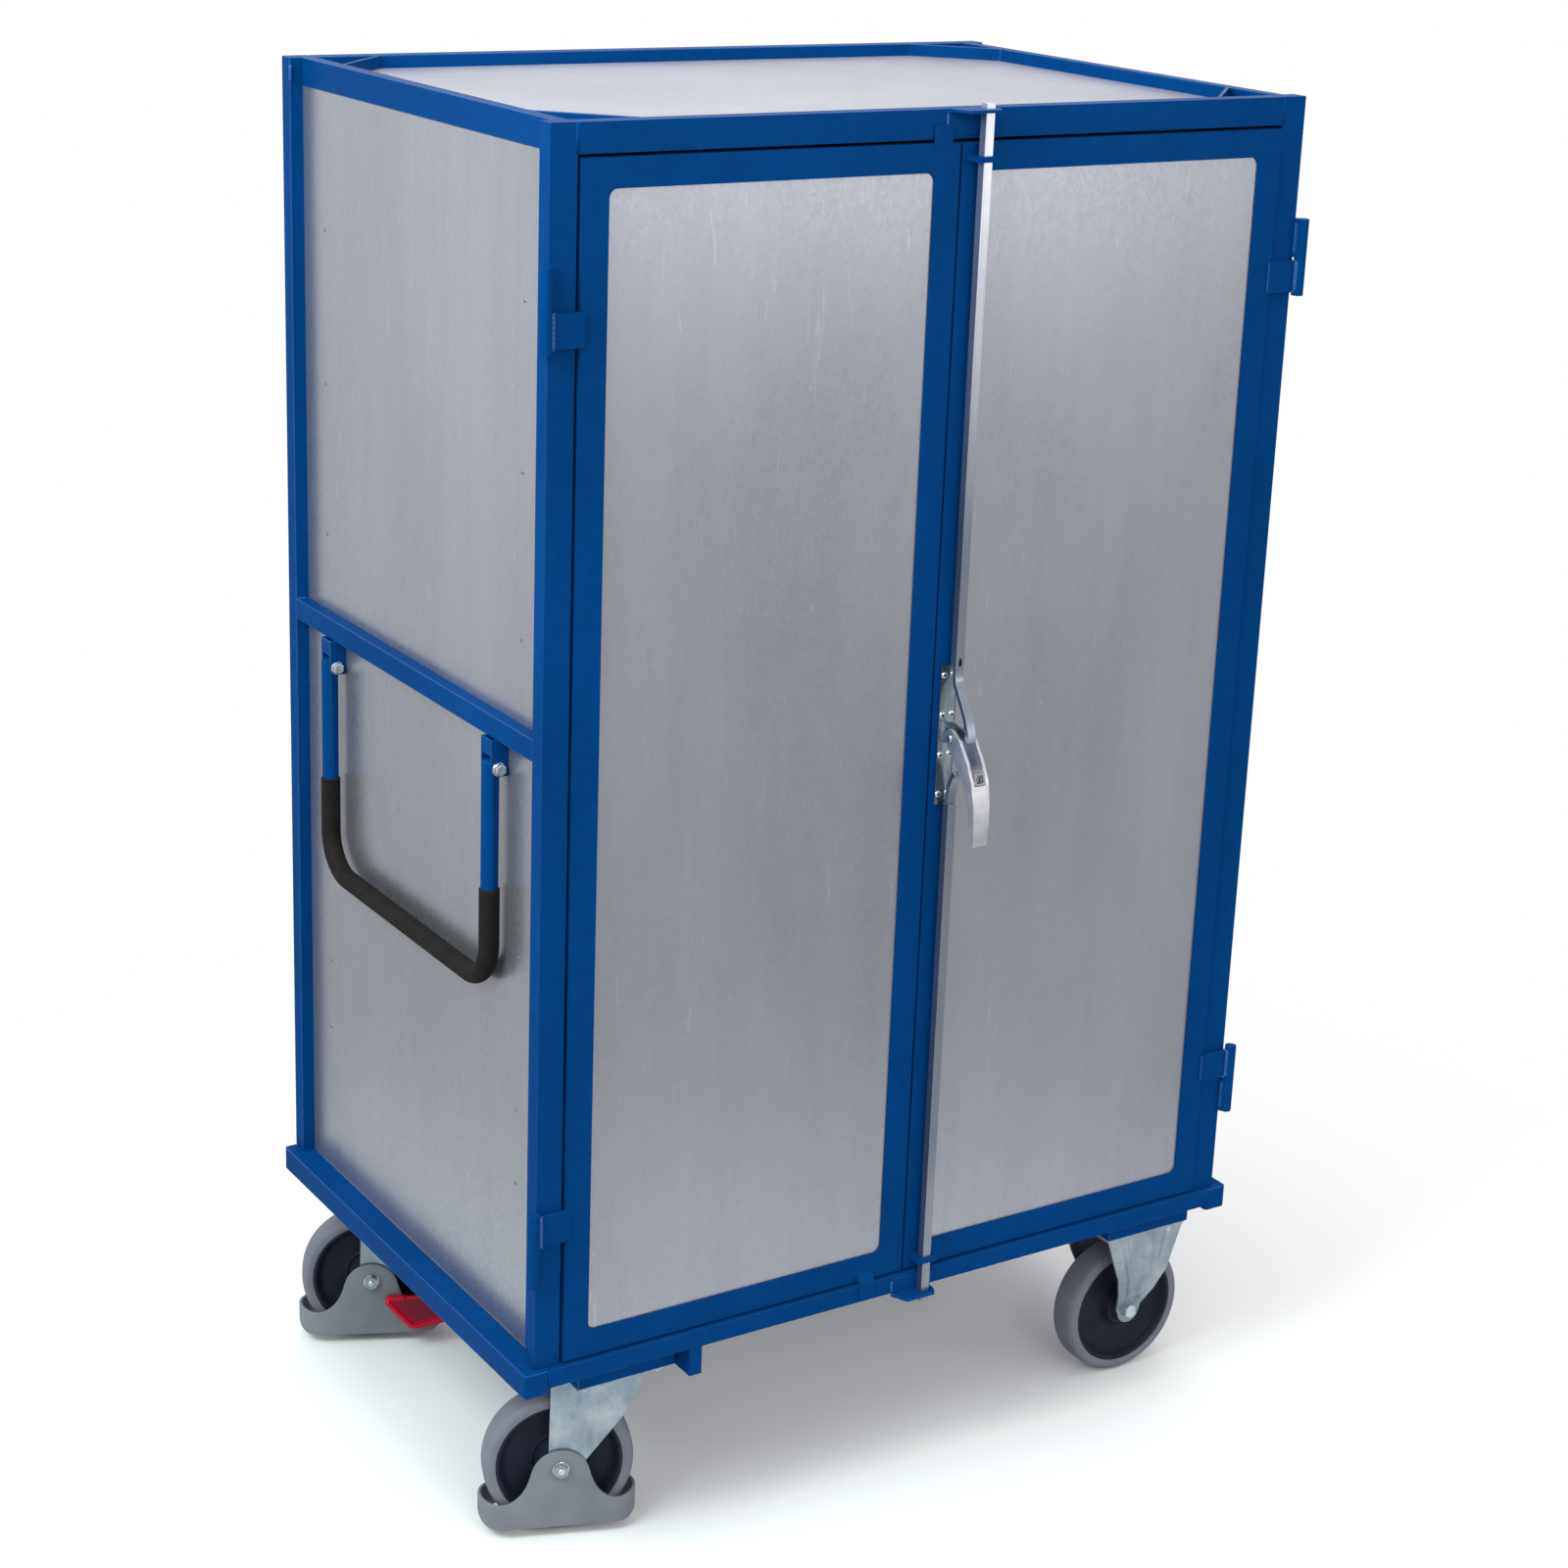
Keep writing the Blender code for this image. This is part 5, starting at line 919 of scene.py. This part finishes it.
def guard(label):
    """A foot guard as a smooth shell with a rounded rim, its bosses and the axle's heads."""
    centre, axis = joint_place(label + "_swivel_wheel_spin")
    body = label + "_swivel"
    lead = Vector((axis.y, -axis.x, 0)).normalized()
    base = Matrix(((lead.x, axis.x, 0, centre.x), (lead.y, axis.y, 0, centre.y), (0, 0, 1, 0),
                   (0, 0, 0, 1)))
    loop = guard_loop()
    rows = [guard_foot(loop, 0.0), *(guard_rim(loop, inset, drop) for inset, drop in GUARD_RIM),
            guard_foot(loop, GUARD_WALL)]
    bm = bmesh.new()
    skin(bm, [[bm.verts.new(base @ (Vector(place) * MM)) for place in row] for row in rows],
         ends=False, closed=True)
    heads = bmesh.new()
    for side in SIDES:
        way = base.to_3x3() @ Vector((0, side, 0))
        boss = base @ Vector((0, side * GUARD_OUT * MM, AXLE_Z * MM))
        add_lathe(bm, GUARD_BOSS, turned(boss, way), closed=True)
        head = turned(base @ Vector((0, side * (GUARD_OUT + 0.35) * MM, AXLE_Z * MM)), way)
        add_hex_head(heads, head, 17, 5.0, washer=11.4, washer_height=1.2)
        add_lathe(heads, AXLE_STUD, head, 24)
    shell = piece(label + "_guard_shell", bm, body, GUARD, smooth=45)
    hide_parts(label + "_foot_guard")
    piece(label + "_axle_heads", heads, body, STEEL, smooth=30)


for label in ("front", "rear"):
    guard(label)

# The brake pedal: a moulded plate with a raised lip round its left and lower edges and a tread in
# a darker red, as painted shade. Its points are (along, up) on the face of the CAD pedal's own leaning plate.

PEDAL_LEAN = math.radians(25)
PEDAL_NECK = 0.012
PEDAL_LINE = [(2, 0), (1, -9), (38, -47), (88, -38), (84, -8), (46, 1)]
PEDAL_TREAD = [(13, -6), (13, -9.5), (43, -38), (79, -31), (77, -10), (48, -5)]
LIP_LINE = [(30, -2), (5.5, -2.5), (4.6, -8), (12, -16), (24, -28), (36, -40), (40, -43),
            (45, -43.6), (60, -40.5), (84, -35.5)]
LIP_DEPTH = -3.2
LIP_RADIUS = 4.6


def round_off(made, voxel, passes):
    """Rounds a moulded piece all over with modifiers."""
    remesh = made.modifiers.new("skin", "REMESH")
    remesh.mode = "VOXEL"
    remesh.voxel_size = voxel
    remesh.use_smooth_shade = True
    relax = made.modifiers.new("relax", "SMOOTH")
    relax.factor = 0.6
    relax.iterations = passes


hinge, hinge_axis = joint_place("brake_pedal_press")
wheel_middle = joint_place("rear_swivel_wheel_spin")[0]
out = Vector((-hinge_axis.y, hinge_axis.x, 0)).normalized()
if out.dot(hinge - wheel_middle) < 0:
    out = -out
across = UP.cross(out)
outward = out * math.cos(PEDAL_LEAN) + UP * math.sin(PEDAL_LEAN)
upward = outward.cross(across)
pedal = frame["nodes"]["brake_pedal"]
spots = [pedal.matrix_world @ vertex.co - hinge for vertex in pedal.data.vertices]
depths = [spot.dot(outward) for spot in spots if spot.dot(upward) < -PEDAL_NECK]
plate = Matrix((across, upward, outward)).transposed().to_4x4()
plate.translation = hinge + across * min(spot.dot(across) for spot in spots) + outward * max(depths)

bm = bmesh.new()
add_prism(bm, PEDAL_LINE, (min(depths) - max(depths)) / MM, -1.5, plate)
lip = [plate @ Vector((a * MM, b * MM, LIP_DEPTH * MM)) for a, b in LIP_LINE]
add_tube(bm, lip, LIP_RADIUS, steps=20)
shell = piece("brake_pedal_shell", bm, "brake_pedal", PEDAL, smooth=0)
round_off(shell, voxel=0.0009, passes=10)
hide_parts("brake_pedal")
bm = bmesh.new()
add_prism(bm, PEDAL_TREAD, -3.0, -0.9, plate)
piece("brake_pedal_tread", bm, "brake_pedal", TREAD_SHADE, bevel=0.0006)

# Fixed casters: pressed ridges down the housings' legs, and the axles' heads

# A leg's outer face, as (height, distance from the housing's middle).
LEG_FACE = [(241, 57.0), (168.8, 57.0), (137.0, 46.8), (106.6, 31.5), (0, 31.5)]
LEG_TOP = 236.0
LEG_FOOT = 31.5
RIDGE_STEPS = 24
RIDGE_HEIGHT = 3.4
# Each ridge's x at its top and its foot, the height of its foot, and its width.
RIDGES = ((-38, -9, 118, 13.0), (8, 7, 120, 18.0), (44, 31, 184, 10.0))


def leg_out(z):
    """How far from the housing's middle the leg's outer face is at a height."""
    for (high, out_high), (low, out_low) in zip(LEG_FACE, LEG_FACE[1:]):
        if low <= z <= high:
            return out_low + (out_high - out_low) * (z - low) / (high - low)


for label, y in (("front_fixed", -CASTER_Y), ("rear_fixed", CASTER_Y)):
    bm = bmesh.new()
    heads = bmesh.new()
    for side in SIDES:
        for top_x, low_x, low_z, width in RIDGES:
            points = []
            for index in range(RIDGE_STEPS + 1):
                t = index / RIDGE_STEPS
                z = LEG_TOP + (low_z - LEG_TOP) * t
                x = FIXED_X + top_x + (low_x - top_x) * t
                points.append(at(x, y + side * leg_out(z), z))
            add_ridge(bm, points, Vector((0, side, 0)), Vector((1, 0, 0)), width, RIDGE_HEIGHT)
        place = at(FIXED_X, y + side * LEG_FOOT, AXLE_Z)
        add_hex_head(heads, turned(place, (0, side, 0)), 18.9, 7.0)
    piece(label + "_leg_ridges", bm, "cabinet", ZINC, smooth=25)
    piece(label + "_axle_heads", heads, "cabinet", STEEL, smooth=30)

# The raceway on top of each swivel fork, as (radius, height).
RACEWAY = [(34.8, 228.0), (40.0, 228.0), (41.0, 229.4), (41.0, 232.0), (39.6, 233.6), (34.8, 233.6)]

for label in ("front_swivel", "rear_swivel"):
    centre = joint_place(label + "_turn")[0]
    bm = bmesh.new()
    add_lathe(bm, RACEWAY, Matrix.Translation((centre.x, centre.y, 0)), 64, closed=True)
    piece(label.replace("_swivel", "_raceway"), bm, label, ZINC)

# Stage: a round pale floor that fades out, so that its rim never shows

FLOOR_RADIUS = 2.2
FLOOR_DROP = 0.0004
FLOOR_STEPS = 96
FADE = (0.85, 1.75)
# To the camera the floor is nearly white. It gives back less light than that to the object.
FLOOR_SEEN = ((0.90, 0.90, 0.90), (0.93, 0.93, 0.93))
FLOOR_GIVEN = (0.64, 0.64, 0.64)

floor_mesh = bpy.data.meshes.new("studio_floor")
floor_mesh.from_pydata([(a, b, 0) for a, b in circle(FLOOR_RADIUS, FLOOR_STEPS)], [],
                       [tuple(range(FLOOR_STEPS))])
floor = bpy.data.objects.new("studio_floor", floor_mesh)
bpy.context.scene.collection.objects.link(floor)
floor.location.z = -FLOOR_DROP
paper = Finish("studio_floor")
seen = paper.mix(paper.noise(1.2), *FLOOR_SEEN)
is_camera = paper.add("ShaderNodeLightPath").outputs["Is Camera Ray"]
paper.set(Base_Color=paper.mix(is_camera, FLOOR_GIVEN, seen), Roughness=0.9,
          Specular_IOR_Level=0.0)
reach = paper.add("ShaderNodeVectorMath", operation="LENGTH")
paper.link(paper.place, reach.inputs[0])
clear = paper.add("ShaderNodeBsdfTransparent")
blend = paper.add("ShaderNodeMixShader")
paper.link(paper.remap(reach.outputs["Value"], *FADE, 0, 1), blend.inputs["Fac"])
paper.link(paper.shader.outputs["BSDF"], blend.inputs[1])
paper.link(clear.outputs["BSDF"], blend.inputs[2])
paper.link(blend.outputs["Shader"], paper.tree.nodes["Material Output"].inputs["Surface"])
floor_mesh.materials.append(paper.material)
floor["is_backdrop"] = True

# World: a white backdrop for the camera, and soft light that is dimmer from below

WHITE = (1.0, 1.0, 1.0, 1)
LIGHT_AXIS = (-0.15, 0, 1)
# The light's strength goes from the first value below the horizon to the second above it.
HORIZON = (-0.40, -0.06)
STRENGTH = (0.42, 0.84)

world = bpy.data.worlds.new("studio")
bpy.context.scene.world = world
world.use_nodes = True
sky = Tree(world.node_tree)
ambient = world.node_tree.nodes["Background"]
ambient.inputs["Color"].default_value = WHITE
direction = sky.add("ShaderNodeTexCoord")
height = sky.add("ShaderNodeVectorMath", operation="DOT_PRODUCT")
height.inputs[1].default_value = LIGHT_AXIS
sky.link(direction.outputs["Generated"], height.inputs[0])
sky.link(sky.remap(height.outputs["Value"], *HORIZON, *STRENGTH), ambient.inputs["Strength"])
backdrop = sky.add("ShaderNodeBackground")
backdrop.inputs["Color"].default_value = WHITE
backdrop.inputs["Strength"].default_value = 1.0
path = sky.add("ShaderNodeLightPath")
shown = sky.maths("MAXIMUM", path.outputs["Is Camera Ray"], path.outputs["Is Transmission Ray"])
mixer = sky.add("ShaderNodeMixShader")
sky.link(shown, mixer.inputs["Fac"])
sky.link(ambient.outputs[0], mixer.inputs[1])
sky.link(backdrop.outputs[0], mixer.inputs[2])
sky.link(mixer.outputs[0], world.node_tree.nodes["World Output"].inputs["Surface"])


def look(place, target):
    return (Vector(target) - Vector(place)).to_track_quat("-Z", "Y").to_euler()


def softbox(name, place, target, width, height, power, shade=(1, 1, 1)):
    light = bpy.data.lights.new(name, "AREA")
    light.shape = "RECTANGLE"
    light.size = width
    light.size_y = height
    light.energy = power
    light.color = shade
    lamp = bpy.data.objects.new(name, light)
    bpy.context.scene.collection.objects.link(lamp)
    lamp.location = place
    lamp.rotation_euler = look(place, target)


softbox("key_left", (-2.7, -0.7, 3.0), (-0.5, 0, 1.2), 1.6, 1.6, 92, (0.84, 1.0, 0.98))
softbox("fill_front", (-0.9, -4.6, 2.9), (0, -0.3, 1.0), 2.0, 1.6, 46)
softbox("card_front_right", (2.1, -3.9, 1.7), (0, -0.3, 1.5), 2.2, 1.3, 12)
softbox("top", (0.2, 0.2, 4.8), (0, 0, 0), 3.0, 3.0, 62)

# Camera, as it was solved from the photograph: focal length and image centre in its pixels

IMAGE = 1600
FOCAL = 3108.25
CENTRE = (798.77, 734.46)
SENSOR = 36
RIGHT = Vector((0.8450365, -0.5334746, 0.0363060))
DOWN = Vector((-0.1327792, -0.2751276, -0.9521946))
AHEAD = Vector((0.5179604, 0.7998185, -0.3033272))
EYE = (-2157.05, -3365.44, 2247.39)

camera_data = bpy.data.cameras.new("camera")
camera = bpy.data.objects.new("camera", camera_data)
bpy.context.scene.collection.objects.link(camera)
camera_data.sensor_width = SENSOR
camera_data.lens = FOCAL / IMAGE * SENSOR
camera_data.shift_x = (IMAGE / 2 - CENTRE[0]) / IMAGE
camera_data.shift_y = (CENTRE[1] - IMAGE / 2) / IMAGE
camera_data.clip_end = 200
turn = Matrix((RIGHT, -DOWN, -AHEAD)).transposed()
camera.matrix_world = Matrix.Translation(at(*EYE)) @ turn.to_4x4()
bpy.context.scene.camera = camera
bpy.context.scene.view_settings.view_transform = "Standard"

low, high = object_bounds()
